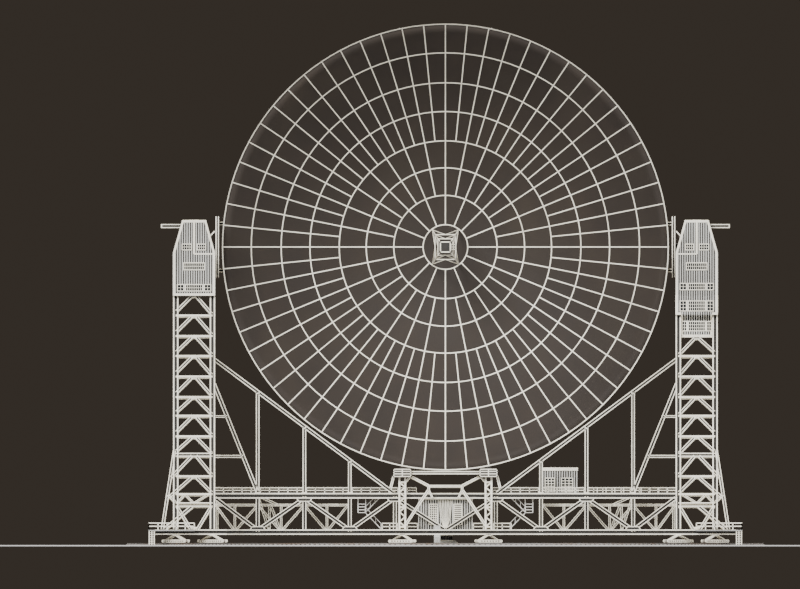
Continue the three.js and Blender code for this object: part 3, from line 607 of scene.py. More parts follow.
class Steelwork:
    def __init__(self):
        self.flanges, self.webs = bmesh.new(), bmesh.new()

    def member(self, start, end, width, depth, normal=Y, flange=0.13):
        """Two flanges `width` apart over all, with a web between them; `normal` faces the viewer."""
        start, end = Vector(start), Vector(end)
        side = normal.cross(end - start)
        if side.length < 1e-4:
            side = (end - start).orthogonal()
        offset = side.normalized() * (width - flange) / 2
        for sign in (-1, 1):
            bar(self.flanges, start + offset * sign, end + offset * sign, flange, depth, normal)
        bar(self.webs, start, end, width - flange, depth * WEB_SHARE, normal)

    def rod(self, start, end, width, depth=None, normal=Y):
        bar(self.flanges, start, end, width, depth, normal)

    def plate(self, centre, normal, across, size, thick=0.06):
        """A flat gusset plate, size[0] along `across` and size[1] across it."""
        centre, half = Vector(centre), across.normalized() * size[0] / 2
        bar(self.flanges, centre - half, centre + half, size[1], thick, normal)

    def gusset(self, centre, way, half, depth):
        """A trapezoid gusset, standing up (way 1) or hanging down (way -1) from a chord."""
        centre, rise = Vector(centre), Z * way * GUSSET_RISE
        low, high = X * half, X * (half - GUSSET_SLANT)
        corners = [centre - low, centre - high + rise, centre + high + rise, centre + low]
        for start, stop in zip(corners, corners[1:]):
            bar(self.flanges, start, stop, GUSSET_EDGE, depth, Y)
        middle, reach = centre + rise / 2, X * (half - 0.25)
        bar(self.webs, middle - reach, middle + reach, GUSSET_RISE - 0.06, depth - 0.06, Y)

    def finish(self, name, body, *nodes):
        # The flanges take the white steel, the webs the nearly black painted shade.
        for part, bm, paint in (("flanges", self.flanges, WHITE_STEEL), ("webs", self.webs, WEB_PAINTED_SHADE)):
            if not bm.verts:
                bm.free()
                continue
            piece = finish_piece(bm, f"{name}_{part}", body, paint)
            if nodes:
                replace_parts(piece, *nodes)


print("members ready")

# %% [markdown]
# The towers come next. Front and rear faces lean together, so a point on a face is found from its
# height. Every bay holds a horizontal and two struts that meet under the bar above, with gusset
# plates where they meet. The outer raking prop runs down to the end of the sill.

# %% Tower faces
FOOT_Y, FOOT_Z, HEAD_Y, HEAD_Z = 28.0, 2.28, 4.0, 42.2
HEADS = {-1: 42.2, 1: 38.95}
SKIRT_BOTTOM = 35.1
TOWER_LEVELS = (38.7, 35.2, 31.8, 28.3, 24.8, 21.6, 18.1, 14.95, 11.3, 8.25)
HEAVY_LEVEL = 14.95
FOOT_BARS = (6.2, 6.75)
INNER, OUTER = TOWER_X - LEG_OFFSET, TOWER_X + LEG_OFFSET
FOOT_STRUTS = (
    (OUTER - 0.2, 6.75, 44.4, 8.25, 0.34), (44.4, 8.25, 42.9, 6.75, 0.34),
    (42.9, 6.75, 40.4, 8.25, 0.34), (OUTER - 0.2, 6.2, 43.4, FOOT_Z, 0.5),
    (INNER + 0.2, 6.2, 42.3, FOOT_Z, 0.5), (46.2, 15.7, 48.27, FOOT_Z, 0.54),
    (47.35, 8.2, OUTER, 6.9, 0.4), (47.9, FOOT_Z, 43.2, 6.2, 0.62),
)
STRUT_SPLIT = 0.35
PROP_SLOPE = 0.13


def leg_y(z):
    """How far out the legs stand at a height."""
    return FOOT_Y - (z - FOOT_Z) * (FOOT_Y - HEAD_Y) / (HEAD_Z - FOOT_Z)


def on_face(side, end, x, z):
    return Vector((side * x, end * leg_y(z), z))


def tower_face(side, end):
    steel = Steelwork()
    normal = X.cross(Vector((0, end * (HEAD_Y - FOOT_Y), HEAD_Z - FOOT_Z))).normalized()
    head = HEADS[side]

    def at(x, z):
        return on_face(side, end, x, z)

    for x in (INNER, OUTER):
        steel.member(at(x, FOOT_Z), at(x, head), 0.9, 0.86, normal, 0.22)
    levels = [z for z in TOWER_LEVELS if side < 0 or z < SKIRT_BOTTOM]
    tops = [HEAD_Z if side < 0 else SKIRT_BOTTOM - 0.1] + levels
    for top, z in zip(tops, levels):
        if z == HEAVY_LEVEL:
            steel.member(at(INNER, z), at(OUTER, z), 0.74, 0.5, normal, 0.18)
        else:
            steel.rod(at(INNER, z), at(OUTER, z), 0.36, 0.5, normal)
        # Below the heavy level the outer strut reaches past the leg, on to the outer prop.
        foot = OUTER - 0.15
        if top <= HEAVY_LEVEL:
            foot = OUTER + 0.75 + (HEAVY_LEVEL - top) * PROP_SLOPE
        drop = (foot - TOWER_X - STRUT_SPLIT) * (top - z) / LEG_OFFSET * 0.92
        near, far = at(TOWER_X - STRUT_SPLIT, top - 0.1), at(TOWER_X + STRUT_SPLIT, top - 0.1)
        steel.member(near, at(INNER + 0.15, z + 0.35), 0.54, 0.3, normal, 0.15)
        steel.member(far, at(foot, top - drop), 0.54, 0.3, normal, 0.15)
        steel.rod(at(TOWER_X - 0.5, top - 0.25), at(TOWER_X + 0.5, top - 0.25), 0.16, 0.36, normal)
    for z in FOOT_BARS:
        steel.rod(at(INNER, z), at(OUTER, z), 0.2, 0.5, normal)
    for x1, z1, x2, z2, width in FOOT_STRUTS:
        steel.member(at(x1, z1), at(x2, z2), width, 0.36, normal, min(0.15, width * 0.32))
    steel.plate(at(TOWER_X, FOOT_Z + 0.25), normal, X, (1.2, 0.26), 0.4)
    return steel


for side_name, side in SIDES:
    for end_name, end in ENDS:
        node = f"{side_name}_tower_{end_name}_face"
        tower_face(side, end).finish(node, "turntable", node)

# %% [markdown]
# The sides of a tower are A-frames: sloping legs, two inner posts, and long diagonals. The legs are
# part of the faces already, so a side only adds what hangs between them.

# %% Tower sides
SIDE_LEVELS = (2.6, 11.3, 21.6, 31.8, 38.7)
POST_Y = 5.0


def tower_side(side, x):
    steel = Steelwork()
    head = HEADS[side]

    def member(y1, z1, y2, z2, width):
        steel.member((side * x, y1, z1), (side * x, y2, z2), width, 0.46, X, 0.17)

    for z in SIDE_LEVELS:
        reach = leg_y(z) - 0.5
        member(-reach, z, reach, z, 0.55)
    for end in (-1, 1):
        member(end * POST_Y, FOOT_Z, end * POST_Y, min(39.4, head), 0.6)
        for low, high in zip(SIDE_LEVELS[:3], SIDE_LEVELS[1:4]):
            member(end * (leg_y(low) - 0.5), low, end * POST_Y, high, 0.5)
            middle = (side * x, end * (leg_y(low) + POST_Y) / 2, (low + high) / 2)
            steel.rod(middle, (side * x, end * POST_Y, low), 0.22, 0.3, X)
            steel.rod(middle, (side * x, end * (leg_y(high) - 0.4), high), 0.22, 0.3, X)
    for i in range(4):
        lean = 1 if i % 2 == 0 else -1
        member(-lean * POST_Y, SIDE_LEVELS[i], lean * POST_Y, SIDE_LEVELS[i + 1], 0.4)
        for y in (-POST_Y, POST_Y):
            steel.plate((side * x, y, SIDE_LEVELS[i + 1]), X, Y, (1.3, 0.8), 0.5)
    return steel


for side_name, side in SIDES:
    for where, x in (("inner", INNER), ("outer", OUTER)):
        node = f"{side_name}_tower_{where}_side"
        tower_side(side, x).finish(node, "turntable", node)

# %% [markdown]
# A ladder climbs each pair of rear legs on the inside. It is two rails and rungs, spaced as a foot
# needs them, and the same helper could hang one anywhere.

# %% Tower ladders
LADDER_OFFSET = 0.95


def ladder(bm, foot, head, across, width=0.5, pitch=0.4, rail=0.09):
    foot, head, across = Vector(foot), Vector(head), across.normalized() * width / 2
    for sign in (-1, 1):
        bar(bm, foot + across * sign, head + across * sign, rail)
    rungs = max(2, round((head - foot).length / pitch))
    for i in range(1, rungs):
        point = foot.lerp(head, i / rungs)
        bar(bm, point - across, point + across, 0.05)


def tower_ladders():
    bm = bmesh.new()
    for side, head in HEADS.items():
        for x in (INNER, OUTER):
            foot, top = on_face(side, 1, x, 2.6), on_face(side, 1, x, head)
            ladder(bm, foot - Y * LADDER_OFFSET, top - Y * LADDER_OFFSET, X)
    return finish_piece(bm, "tower_ladders", "turntable", GRATING)


tower_ladders()

# %% [markdown]
# The girder is two trusses ten metres apart. Its top chords end at the towers' inner sides, and its
# bottom chords run on beneath the towers. The verticals and diagonals end at the chords' inner
# edges, and gussets cover the places where they meet. If they ran on to the middle of a chord, they
# would cross its dark web.

# %% Girder trusses
CHORD_END = 49.6
WALL_X = INNER - 0.253
TRUSS_TOP_NODES, TRUSS_BOTTOM_NODES = (WALL_X - 0.2, 24.05, 8.6), (32.0, 16.3, 0)
TRUSS_POSTS = (32.0, 24.05, 16.3, 8.6)
TOP_CHORD_Z, BOTTOM_CHORD_Z = GIRDER_TOP - 0.42, 1.89
STRUT_HEAD, STRUT_FOOT = TOP_CHORD_Z - 0.36, BOTTOM_CHORD_Z + 0.34
GUSSET_HALF, GUSSET_DEPTH = 1.3, 0.54


def truss_lines():
    """The diagonals, zigzagging inwards from the tower, and the posts: (x, z, x, z) each."""
    heads = [(x, STRUT_HEAD) for x in TRUSS_TOP_NODES]
    feet = [(x, STRUT_FOOT) for x in TRUSS_BOTTOM_NODES]
    lines = [head + foot for head, foot in zip(heads, feet)]
    lines += [foot + head for foot, head in zip(feet, heads[1:])]
    return lines + [(x, STRUT_FOOT, x, STRUT_HEAD) for x in TRUSS_POSTS]


def main_truss(end):
    steel = Steelwork()
    y = end * GIRDER_Y
    steel.member((-WALL_X, y, TOP_CHORD_Z), (WALL_X, y, TOP_CHORD_Z), 0.94, 0.6, Y, 0.21)
    steel.member((-CHORD_END, y, BOTTOM_CHORD_Z), (CHORD_END, y, BOTTOM_CHORD_Z), 0.9, 0.6, Y, 0.2)
    for side in (-1, 1):
        for x1, z1, x2, z2 in truss_lines():
            steel.member((side * x1, y, z1), (side * x2, y, z2), 0.64, 0.42, Y, 0.15)
        for x in TRUSS_BOTTOM_NODES[:2]:
            steel.gusset((side * x, y, BOTTOM_CHORD_Z + 0.42), 1, GUSSET_HALF, GUSSET_DEPTH)
        for x in TRUSS_TOP_NODES[1:]:
            steel.gusset((side * x, y, TOP_CHORD_Z - 0.44), -1, GUSSET_HALF, GUSSET_DEPTH)
    return steel


for end_name, end in ENDS:
    main_truss(end).finish(f"main_truss_{end_name}", "turntable", f"main_truss_{end_name}")

# %% [markdown]
# Cross beams and flat crosses tie the two trusses together, at the chords' heights. Along the
# middle stands a second, lower truss, which shows through the front one in the drawing, with a fan
# of slim struts beside its second post.

# %% Floor frames
FLOOR_Y = 4.69
CROSS_Y = 4.6
FLOOR_POSTS = (16.3, 24.05, 32.0, 38.9)
FLOOR_LEVELS = (CHORD_TOP - 0.35, GIRDER_TOP - 0.35)
SECOND_FOOT_Z, SECOND_HEAD_Z = 2.0, 6.5
SECOND_TOP_NODES, SECOND_BOTTOM_NODES = (39.2, 32.0, 24.05, 16.6), (35.9, 28.0, 20.2)
SLIM_STRUTS = (
    (32.0, GIRDER_TOP - 0.4, 30.0, SECOND_FOOT_Z), (32.0, GIRDER_TOP - 0.4, 28.5, SECOND_HEAD_Z),
    (30.0, SECOND_HEAD_Z, 30.0, SECOND_FOOT_Z), (29.8, SECOND_HEAD_Z, 28.1, SECOND_FOOT_Z),
)


def second_truss(steel, side):
    low, high = sorted((side * 16.1, side * WALL_X))
    steel.member((low, 0, 1.95), (high, 0, 1.95), 0.5, 0.44, Y, 0.16)
    steel.member((low, 0, SECOND_HEAD_Z), (high, 0, SECOND_HEAD_Z), 0.42, 0.44, Y, 0.15)
    for i, foot in enumerate(SECOND_BOTTOM_NODES):
        for head in (SECOND_TOP_NODES[i], foot, SECOND_TOP_NODES[i + 1]):
            start, stop = (side * foot, 0, SECOND_FOOT_Z), (side * head, 0, SECOND_HEAD_Z)
            steel.member(start, stop, 0.42, 0.3, Y, 0.15)
        steel.plate((side * foot, 0, 2.35), Y, X, (0.9, 0.3), 0.4)
    for x1, z1, x2, z2 in SLIM_STRUTS:
        steel.member((side * x1, 0, z1), (side * x2, 0, z2), 0.42, 0.34, Y)


def floor_frame(side):
    steel = Steelwork()
    for x in FLOOR_POSTS:
        for z in FLOOR_LEVELS:
            steel.member((side * x, -FLOOR_Y, z), (side * x, FLOOR_Y, z), 0.7, 0.5, X, 0.16)
        steel.member((side * x, 0, CHORD_TOP), (side * x, 0, GIRDER_TOP - 0.7), 0.42, 0.4, Y, 0.14)
    second_truss(steel, side)
    for z in FLOOR_LEVELS:
        for near, far in zip(FLOOR_POSTS, FLOOR_POSTS[1:]):
            for y in (-CROSS_Y, CROSS_Y):
                steel.rod((side * near, -y, z), (side * far, y, z), 0.24, 0.2, Z)
    return steel


def centre_floor():
    steel = Steelwork()
    for x in (-8.6, 0, 8.6):
        steel.member((x, -FLOOR_Y, CHORD_TOP - 0.38), (x, FLOOR_Y, CHORD_TOP - 0.38), 0.72, 0.5, X, 0.16)
    for y in (-1.4, 1.4):
        steel.member((-8.6, y, CHORD_TOP - 0.28), (8.6, y, CHORD_TOP - 0.28), 0.44, 0.4, Y, 0.14)
    for near, far in ((-16.3, -8.6), (8.6, 16.3)):
        for lean in (-1, 1):
            for z in (CHORD_TOP - 0.3, GIRDER_TOP - 0.3):
                steel.rod((near, -lean * 4.7, z), (far, lean * 4.7, z), 0.24, 0.2, Z)
    return steel


for side_name, side in SIDES:
    floor_frame(side).finish(f"{side_name}_floor_frame", "turntable", f"{side_name}_floor_frame")
centre_floor().finish("centre_floor", "turntable", "centre_floor")

# %% [markdown]
# Long props rake down from the towers on to the girder, with hangers between. A second, steeper
# prop meets the outer hanger, and two short ties hold it to the tower.

# %% Raking frames
PROP_TOP, PROP_FOOT = (WALL_X, 31.39), (8.75, GIRDER_TOP)
HANGERS = (32.0, 24.05, 16.3)
PROP_LINES = (
    (*PROP_TOP, *PROP_FOOT, 0.64), (WALL_X, 27.2, 31.95, GIRDER_TOP, 0.66),
    (WALL_X, 21.6, 37.2, 21.6, 0.42), (WALL_X, 14.8, 34.5, 14.8, 0.5),
)


def raking_frame(side, end):
    steel = Steelwork()
    y = end * GIRDER_Y
    slope = (PROP_TOP[1] - PROP_FOOT[1]) / (PROP_TOP[0] - PROP_FOOT[0])
    hangers = [(x, GIRDER_TOP, x, PROP_FOOT[1] + (x - PROP_FOOT[0]) * slope, 0.6) for x in HANGERS]
    for x1, z1, x2, z2, width in (*PROP_LINES, *hangers):
        steel.member((side * x1, y, z1), (side * x2, y, z2), width, 0.44, Y, min(0.17, width * 0.32))
    for x in HANGERS:
        steel.plate((side * x, y, GIRDER_TOP + 0.1), Y, X, (0.9, 0.16), 0.46)
    return steel


for side_name, side in SIDES:
    for end_name, end in ENDS:
        node = f"{side_name}_{end_name}_raking_frame"
        raking_frame(side, end).finish(node, "turntable", node)

# %% [markdown]
# Under the dish stand laced columns. They carry the roller boxes over which the wheel girders run,
# with a head beam and a hanging tie frame between them. Front and rear frames lean together, so
# every point of one is given by its x and height, and the lean follows from the height.

# %% Centre frames
COLUMN_FOOT_Y, COLUMN_HEAD_Y = 9.0, 6.0
COLUMN_FOOT_Z, COLUMN_HEAD_Z = 1.5, 10.3
COLUMN_HALF = 0.5
COLUMN_STAGES = [CHORD_TOP + 0.5 + i * 0.84 for i in range(10)]
COLUMN_RUNGS = (2.75, 6.1, 10.35)
CENTRE_TIES = (
    (5.75, 11.25, 2.86, 9.75, 0.44), (2.86, 9.8, 2.86, 8.9, 0.42), (2.86, 9.1, 6.85, 3.0, 0.44),
    (6.0, 11.3, 6.85, 10.3, 0.3), (8.85, 11.3, 9.35, 9.3, 0.42), (2.86, 9.1, 2.2, 7.7, 0.3),
)


def column_y(z):
    share = (z - COLUMN_FOOT_Z) / (COLUMN_HEAD_Z - COLUMN_FOOT_Z)
    return COLUMN_FOOT_Y - share * (COLUMN_FOOT_Y - COLUMN_HEAD_Y)


def centre_frame(end):
    steel = Steelwork()

    def at(x, z):
        return Vector((x, end * column_y(z), z))

    normal = X.cross(at(0, COLUMN_HEAD_Z) - at(0, COLUMN_FOOT_Z)).normalized()

    for side in (-1, 1):
        chords = (side * (COLUMN_X - COLUMN_HALF), side * (COLUMN_X + COLUMN_HALF))
        for x in chords:
            steel.rod(at(x, CHORD_TOP), at(x, 11.3), 0.3, 0.5, normal)
        for i, (low, high) in enumerate(zip(COLUMN_STAGES, COLUMN_STAGES[1:])):
            steel.rod(at(chords[i % 2], low), at(chords[(i + 1) % 2], high), 0.2, 0.3, normal)
        for z in COLUMN_RUNGS:
            steel.rod(at(chords[0], z), at(chords[1], z), 0.24, 0.4, normal)
        for x1, z1, x2, z2, width in CENTRE_TIES:
            steel.member(at(side * x1, z1), at(side * x2, z2), width, 0.34, normal, width * 0.38)
    steel.member(at(-2.9, 9.68), at(2.9, 9.68), 0.4, 0.36, normal, 0.15)
    return steel


HEAD_BEAM = Vector((5.82, 6.3, 12.02))

for end_name, end in ENDS:
    node = f"centre_frame_{end_name}"
    centre_frame(end).finish(node, "turntable", node)
    steel = Steelwork()
    beam = Vector((0, end * HEAD_BEAM.y, HEAD_BEAM.z))
    steel.member(beam - X * HEAD_BEAM.x, beam + X * HEAD_BEAM.x, 0.56, 0.66, Y, 0.19)
    node = f"head_beam_{end_name}"
    steel.finish(node, "turntable", node)

# %% [markdown]
# A roller box is louvred steel sheet round the rollers. Light slats stand out from a dark body, and
# the roof has a gap over each roller, where the wheel girder rests on it. The body's near-black paint
# is painted shade, for the unlit inside of the box behind the slats.

# %% Roller boxes
ROLLER_Y, ROLLER_GAP = 1.6, 0.5
ROOF_SLATS = [-6.95 + i * 0.515 for i in range(28)]
SIDE_SLATS = [-6.8 + i * 1.7 for i in range(9)]


def roller_box(side):
    """The dark body with its rollers, and the light slats."""
    body, slats = bmesh.new(), bmesh.new()
    x = side * COLUMN_X
    block(body, (x - 1.42, -7.1, 11.35), (x + 1.42, 7.1, 12.55))
    for y in (-ROLLER_Y, ROLLER_Y):
        drum(body, (x, y, 12.5), X, 0.45, 0.9, 32)
        drum(body, (x, y, 12.5), X, 0.2, 2.2, 16)
    for z in (11.38, 11.82, 12.24, 12.6):
        for y in (-7.12, 7.12):
            block(slats, (x - 1.52, y - 0.08, z - 0.08), (x + 1.52, y + 0.08, z + 0.08))
        for edge in (-1.45, 1.45):
            block(slats, (x + edge - 0.07, -7.2, z - 0.08), (x + edge + 0.07, 7.2, z + 0.08))
    for edge in (-1.44, 0, 1.44):
        for y in (-7.1, 7.1):
            block(slats, (x + edge - 0.08, y - 0.08, 11.3), (x + edge + 0.08, y + 0.08, 12.68))
    for y in ROOF_SLATS:
        if abs(abs(y) - ROLLER_Y) > ROLLER_GAP:
            block(slats, (x - 1.4, y - 0.08, 12.52), (x + 1.4, y + 0.08, 12.62))
    for y in SIDE_SLATS:
        for edge in (-1.44, 1.44):
            block(slats, (x + edge - 0.06, y - 0.06, 11.3), (x + edge + 0.06, y + 0.06, 12.68))
    return body, slats


for side_name, side in SIDES:
    body, slats = roller_box(side)
    node = f"{side_name}_roller_box"
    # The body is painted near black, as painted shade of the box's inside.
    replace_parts(finish_piece(body, f"{node}_body", "turntable", IRON_AND_PAINTED_SHADE), node)
    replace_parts(finish_piece(slats, f"{node}_slats", "turntable", WHITE_STEEL), node)

# %% [markdown]
# The tower heads are clad in corrugated sheet. Each rib is its own thin bar that follows the face,
# so the light catches it as it does on folded steel. The sheet between the ribs is painted near
# black, as painted shade in the valleys of the folds. The right housing reaches lower than the left:
# it widens with the legs, and then a skirt hangs between them. Between the two, the front slopes in
# over a short apron.

# %% The housings' form
HOUSING_HALF, HOUSING_Y = 3.57, 5.2
ROOF_HALF, ROOF_Z, SHOULDER_Z = 2.0, 55.0, 49.5
SKIRT_HALF, SKIRT_INSET, APRON = 2.6, 0.62, 0.85
LEG_SLOPE = (FOOT_Y - HEAD_Y) / (HEAD_Z - FOOT_Z)
SIDE_NAME = {side: name for name, side in SIDES}


def face_y(z):
    """How far out the front of the housing stands at a height."""
    if z >= HEAD_Z:
        return HOUSING_Y
    if z >= HEADS[1]:
        return HOUSING_Y + leg_y(z) - leg_y(HEAD_Z)
    skirt = leg_y(z) - SKIRT_INSET
    if z <= HEADS[1] - APRON:
        return skirt
    share = (z - HEADS[1] + APRON) / APRON
    return skirt + (HOUSING_Y - leg_y(HEAD_Z) + SKIRT_INSET) * share


def half_width(z):
    """Half the width of the front at a height: straight walls, then the slope of the roof."""
    if z <= SHOULDER_Z:
        return HOUSING_HALF
    return HOUSING_HALF - (z - SHOULDER_Z) * (HOUSING_HALF - ROOF_HALF) / (ROOF_Z - SHOULDER_Z)


def roof_over(offset):
    """The height of the roof over a place on the front, the other way round."""
    if abs(offset) <= ROOF_HALF:
        return ROOF_Z
    share = (HOUSING_HALF - abs(offset)) / (HOUSING_HALF - ROOF_HALF)
    return SHOULDER_Z + share * (ROOF_Z - SHOULDER_Z)


def strip_on_face(bm, x, end, z1, z2, width, proud):
    """A vertical strip on a housing front or rear, bent where the face bends."""
    breaks = [z for z in (HEADS[1] - APRON, HEADS[1], HEAD_Z) if z1 < z < z2]
    for low, high in zip([z1] + breaks, breaks + [z2]):
        inset = 0.001
        start = Vector((x, end * face_y(low + inset), low))
        stop = Vector((x, end * face_y(high - inset), high))
        bar(bm, start, stop, width, proud * 2, Y)


print("the right housing's front stands out", round(face_y(HEADS[1]), 2), "m at its foot")

# %% [markdown]
# A rib covers a bit under half of its pitch, as the raised folds of such a sheet do. On the front
# each rib ends at the slope of the roof. On the sides the ribs run on over the roof. The right
# housing needs more of them where it widens, on the flared walls and on the skirt.

# %% Corrugated cladding
RIB_PITCH = 0.4
SIDE_RIB = (0.2, 0.1)
TRUNNION_CLEAR = 0.9


def flare_ribs(bm, centre, wall, low, high, edge_y, inner_y=-1.0):
    """Ribs on a side wall whose edge follows the leg from edge_y outwards, beyond inner_y."""
    reach = int(face_y(low + 0.01) / RIB_PITCH)
    for j in range(-reach, reach + 1):
        y = j * RIB_PITCH
        if abs(y) <= inner_y:
            continue
        top = min(high, HEAD_Z - (abs(y) - edge_y) / LEG_SLOPE) - 0.1
        for x in (centre - wall, centre + wall):
            bar(bm, (x, y, low), (x, y, top), *SIDE_RIB, X)


def housing_ribs(side):
    bm = bmesh.new()
    centre, bottom = side * TOWER_X, HEADS[side]
    count = int(HOUSING_HALF / RIB_PITCH)
    for i in range(-count, count + 1):
        offset = i * RIB_PITCH
        low = SKIRT_BOTTOM if side > 0 and abs(offset) < SKIRT_HALF - 0.1 else bottom
        for end in (-1, 1):
            strip_on_face(bm, centre + offset, end, low, roof_over(offset) - 0.05, 0.15, 0.08)
    reach = int(HOUSING_Y / RIB_PITCH)
    for j in range(-reach, reach + 1):
        y = j * RIB_PITCH
        for sign in (-1, 1):
            # The inner wall lies a little deeper, and its ribs leave room for the trunnion.
            wall = centre + sign * (HOUSING_HALF - (0.03 if sign == -side else 0.0))
            bar(bm, (wall, y, bottom), (wall, y, SHOULDER_Z), *SIDE_RIB, X)
            foot, ridge = Vector((wall, y, SHOULDER_Z)), Vector((centre + sign * ROOF_HALF, y, ROOF_Z))
            if sign == -side and abs(y) < TRUNNION_CLEAR:
                foot = foot.lerp(ridge, 0.4)
            bar(bm, foot, ridge, *SIDE_RIB, X)
    if side > 0:
        flare_ribs(bm, centre, HOUSING_HALF, bottom, HEAD_Z, HOUSING_Y, HOUSING_Y)
        flare_ribs(bm, centre, SKIRT_HALF, SKIRT_BOTTOM, bottom, HEAD_Y - SKIRT_INSET)
    return finish_piece(bm, f"{SIDE_NAME[side]}_housing_ribs", "turntable", RIB_PAINT)


for side_name, side in SIDES:
    housing_ribs(side)

# %% [markdown]
# Folded strips close the edges of the sheets. They are what draws the outline of each housing: the
# roof cap, the corners, the bottom edge, a strip up the middle, and one bright drip line.

# %% Trim of the housings
DRIP_Z = 49.2
INNER_STAY = ((-2.7, 52.3), (39.36, 53.2))


def roof_trim(bm, centre):
    """The cap along the ridge, the joints across it and two hatches."""
    half, reach = ROOF_HALF + 0.1, HOUSING_Y + 0.12
    block(bm, (centre - half, -reach, ROOF_Z - 0.32), (centre + half, reach, ROOF_Z + 0.05))
    left, right, low = centre - ROOF_HALF, centre + ROOF_HALF, ROOF_Z + 0.04
    for i in range(-6, 7):
        y = i * 0.82
        block(bm, (left, y - 0.05, low), (right, y + 0.05, ROOF_Z + 0.1))
    for y in (-2.9, 2.9):
        block(bm, (centre - 0.7, y - 0.7, low), (centre + 0.7, y + 0.7, ROOF_Z + 0.12))


def face_trim(bm, side, end):
    """The corner strips, the bottom edge, the middle strip and the drip line of one face."""
    centre, bottom = side * TOWER_X, HEADS[side]
    edge, front = HOUSING_HALF - 0.17, end * HOUSING_Y
    y = end * face_y(bottom + 0.01)
    inner = SKIRT_HALF if side > 0 else 0.0
    for sign in (-1, 1):
        strip_on_face(bm, centre + sign * edge, end, bottom, SHOULDER_Z, 0.3, 0.11)
        peak = (centre + sign * (ROOF_HALF - 0.1), front, ROOF_Z - 0.1)
        bar(bm, (centre + sign * edge, front, SHOULDER_Z), peak, 0.36, 0.22, Y)
        low, high = sorted((centre + sign * inner, centre + sign * HOUSING_HALF))
        block(bm, (low, y - 0.12, bottom), (high, y + 0.12, bottom + 0.4))
    strip_on_face(bm, centre, end, DRIP_Z + 0.1, ROOF_Z, 0.34, 0.13)
    low, high = sorted((centre, centre - side * (HOUSING_HALF - 0.1)))
    block(bm, (low, front - 0.14, DRIP_Z), (high, front + 0.14, DRIP_Z + 0.22))


def skirt_trim(bm, centre, end):
    """The edges of the skirt, and of the flared walls over it."""
    bottom, reach = HEADS[1], face_y(SKIRT_BOTTOM)
    corner = Vector((centre - SKIRT_HALF, end * reach - 0.12, SKIRT_BOTTOM))
    block(bm, corner, corner + Vector((2 * SKIRT_HALF, 0.24, 0.45)))
    for sign in (-1, 1):
        strip_on_face(bm, centre + sign * (SKIRT_HALF - 0.12), end, SKIRT_BOTTOM, bottom, 0.3, 0.11)
        wall = centre + sign * (HOUSING_HALF - 0.02)
        foot = (wall, end * face_y(bottom + 0.01), bottom)
        bar(bm, (wall, end * HOUSING_Y, HEAD_Z), foot, 0.3, 0.14, X)
        skirt = centre + sign * SKIRT_HALF
        block(bm, (skirt - 0.07, -reach, SKIRT_BOTTOM), (skirt + 0.07, reach, SKIRT_BOTTOM + 0.3))


def housing_trim(side):
    bm = bmesh.new()
    centre = side * TOWER_X
    roof_trim(bm, centre)
    for end in (-1, 1):
        face_trim(bm, side, end)
        if side > 0:
            skirt_trim(bm, centre, end)
    (near, near_z), (far, far_z) = INNER_STAY
    bar(bm, (centre + side * near, -4.6, near_z), (side * far, -4.6, far_z), 0.22)
    return finish_piece(bm, f"{SIDE_NAME[side]}_housing_trim", "turntable", SEAM_WHITE)


for side_name, side in SIDES:
    housing_trim(side)

# %% [markdown]
# Windows are white grids over dark glass, a little proud of the ribs. One function makes a window
# of any size, and lists of windows say where they sit.

# %% Windows
PANE_LIFT, GRID_LIFT, WINDOW_DEPTH = 0.1, 0.14, 0.12


def window(frames, panes, x1, x2, z1, z2, columns, rows, end, y_at, edge=0.14, grid=0.07):
    """A gridded window in a front face, whose distance out at a height is y_at(z)."""
    tilt_low, tilt_high = y_at(z1), y_at(z2)

    def at(x, z):
        y = tilt_low + (tilt_high - tilt_low) * (z - z1) / (z2 - z1)
        return Vector((x, end * y, z))

    middle, lift = (x1 + x2) / 2, Y * end * PANE_LIFT
    bar(panes, at(middle, z1) + lift, at(middle, z2) + lift, x2 - x1, WINDOW_DEPTH, Y)
    lift = Y * end * GRID_LIFT
    for i in range(columns + 1):
        x = x1 + (x2 - x1) * i / columns
        width = edge if i in (0, columns) else grid
        foot, head = at(x, z1 - edge / 2) + lift, at(x, z2 + edge / 2) + lift
        bar(frames, foot, head, width, WINDOW_DEPTH, Y)
    for j in range(rows + 1):
        z = z1 + (z2 - z1) * j / rows
        width = edge if j in (0, rows) else grid
        bar(frames, at(x1, z) + lift, at(x2, z) + lift, width, WINDOW_DEPTH + 0.01, Y)


def window_row(inner, outer, z1, z2, rows):
    """A wide window between two narrow ones, which reach from inner to outer."""
    narrow = [(-outer, -inner, z1, z2, 2, rows), (inner, outer, z1, z2, 2, rows)]
    return narrow + [(-1.45, 1.45, z1, z2, 8, rows)]


UPPER_WINDOWS = [
    (-1.95, -0.55, 50.0, 51.0, 4, 2), (0.45, 2.05, 50.0, 51.0, 4, 2),
    (-1.75, 1.75, 46.6, 47.8, 10, 2),
]
LOWER_WINDOWS = {
    -1: window_row(1.75, 2.85, 43.0, 44.1, 2),
    1: window_row(1.75, 2.85, 43.2, 44.3, 2) + window_row(1.75, 2.85, 39.6, 41.3, 3)
       + window_row(1.7, 2.5, 36.2, 37.8, 3),
}


def housing_windows():
    frames, panes = bmesh.new(), bmesh.new()
    for side, windows in LOWER_WINDOWS.items():
        for end in (-1, 1):
            for x1, x2, z1, z2, columns, rows in UPPER_WINDOWS + windows:
                low, high = sorted((side * (TOWER_X + x1), side * (TOWER_X + x2)))
                window(frames, panes, low, high, z1, z2, columns, rows, end, face_y)
    finish_piece(frames, "housing_window_frames", "turntable", SEAM_WHITE)
    finish_piece(panes, "housing_window_panes", "turntable", WINDOW_GLASS)


housing_windows()

# %% [markdown]
# The cabin under the dish and the hut on the girder are clad the same way, with fewer windows. Both
# are plain boxes, so their ribs need only the corners of the box. Their roofs are flat sheets with
# standing joints, and the cabin has two hatches.

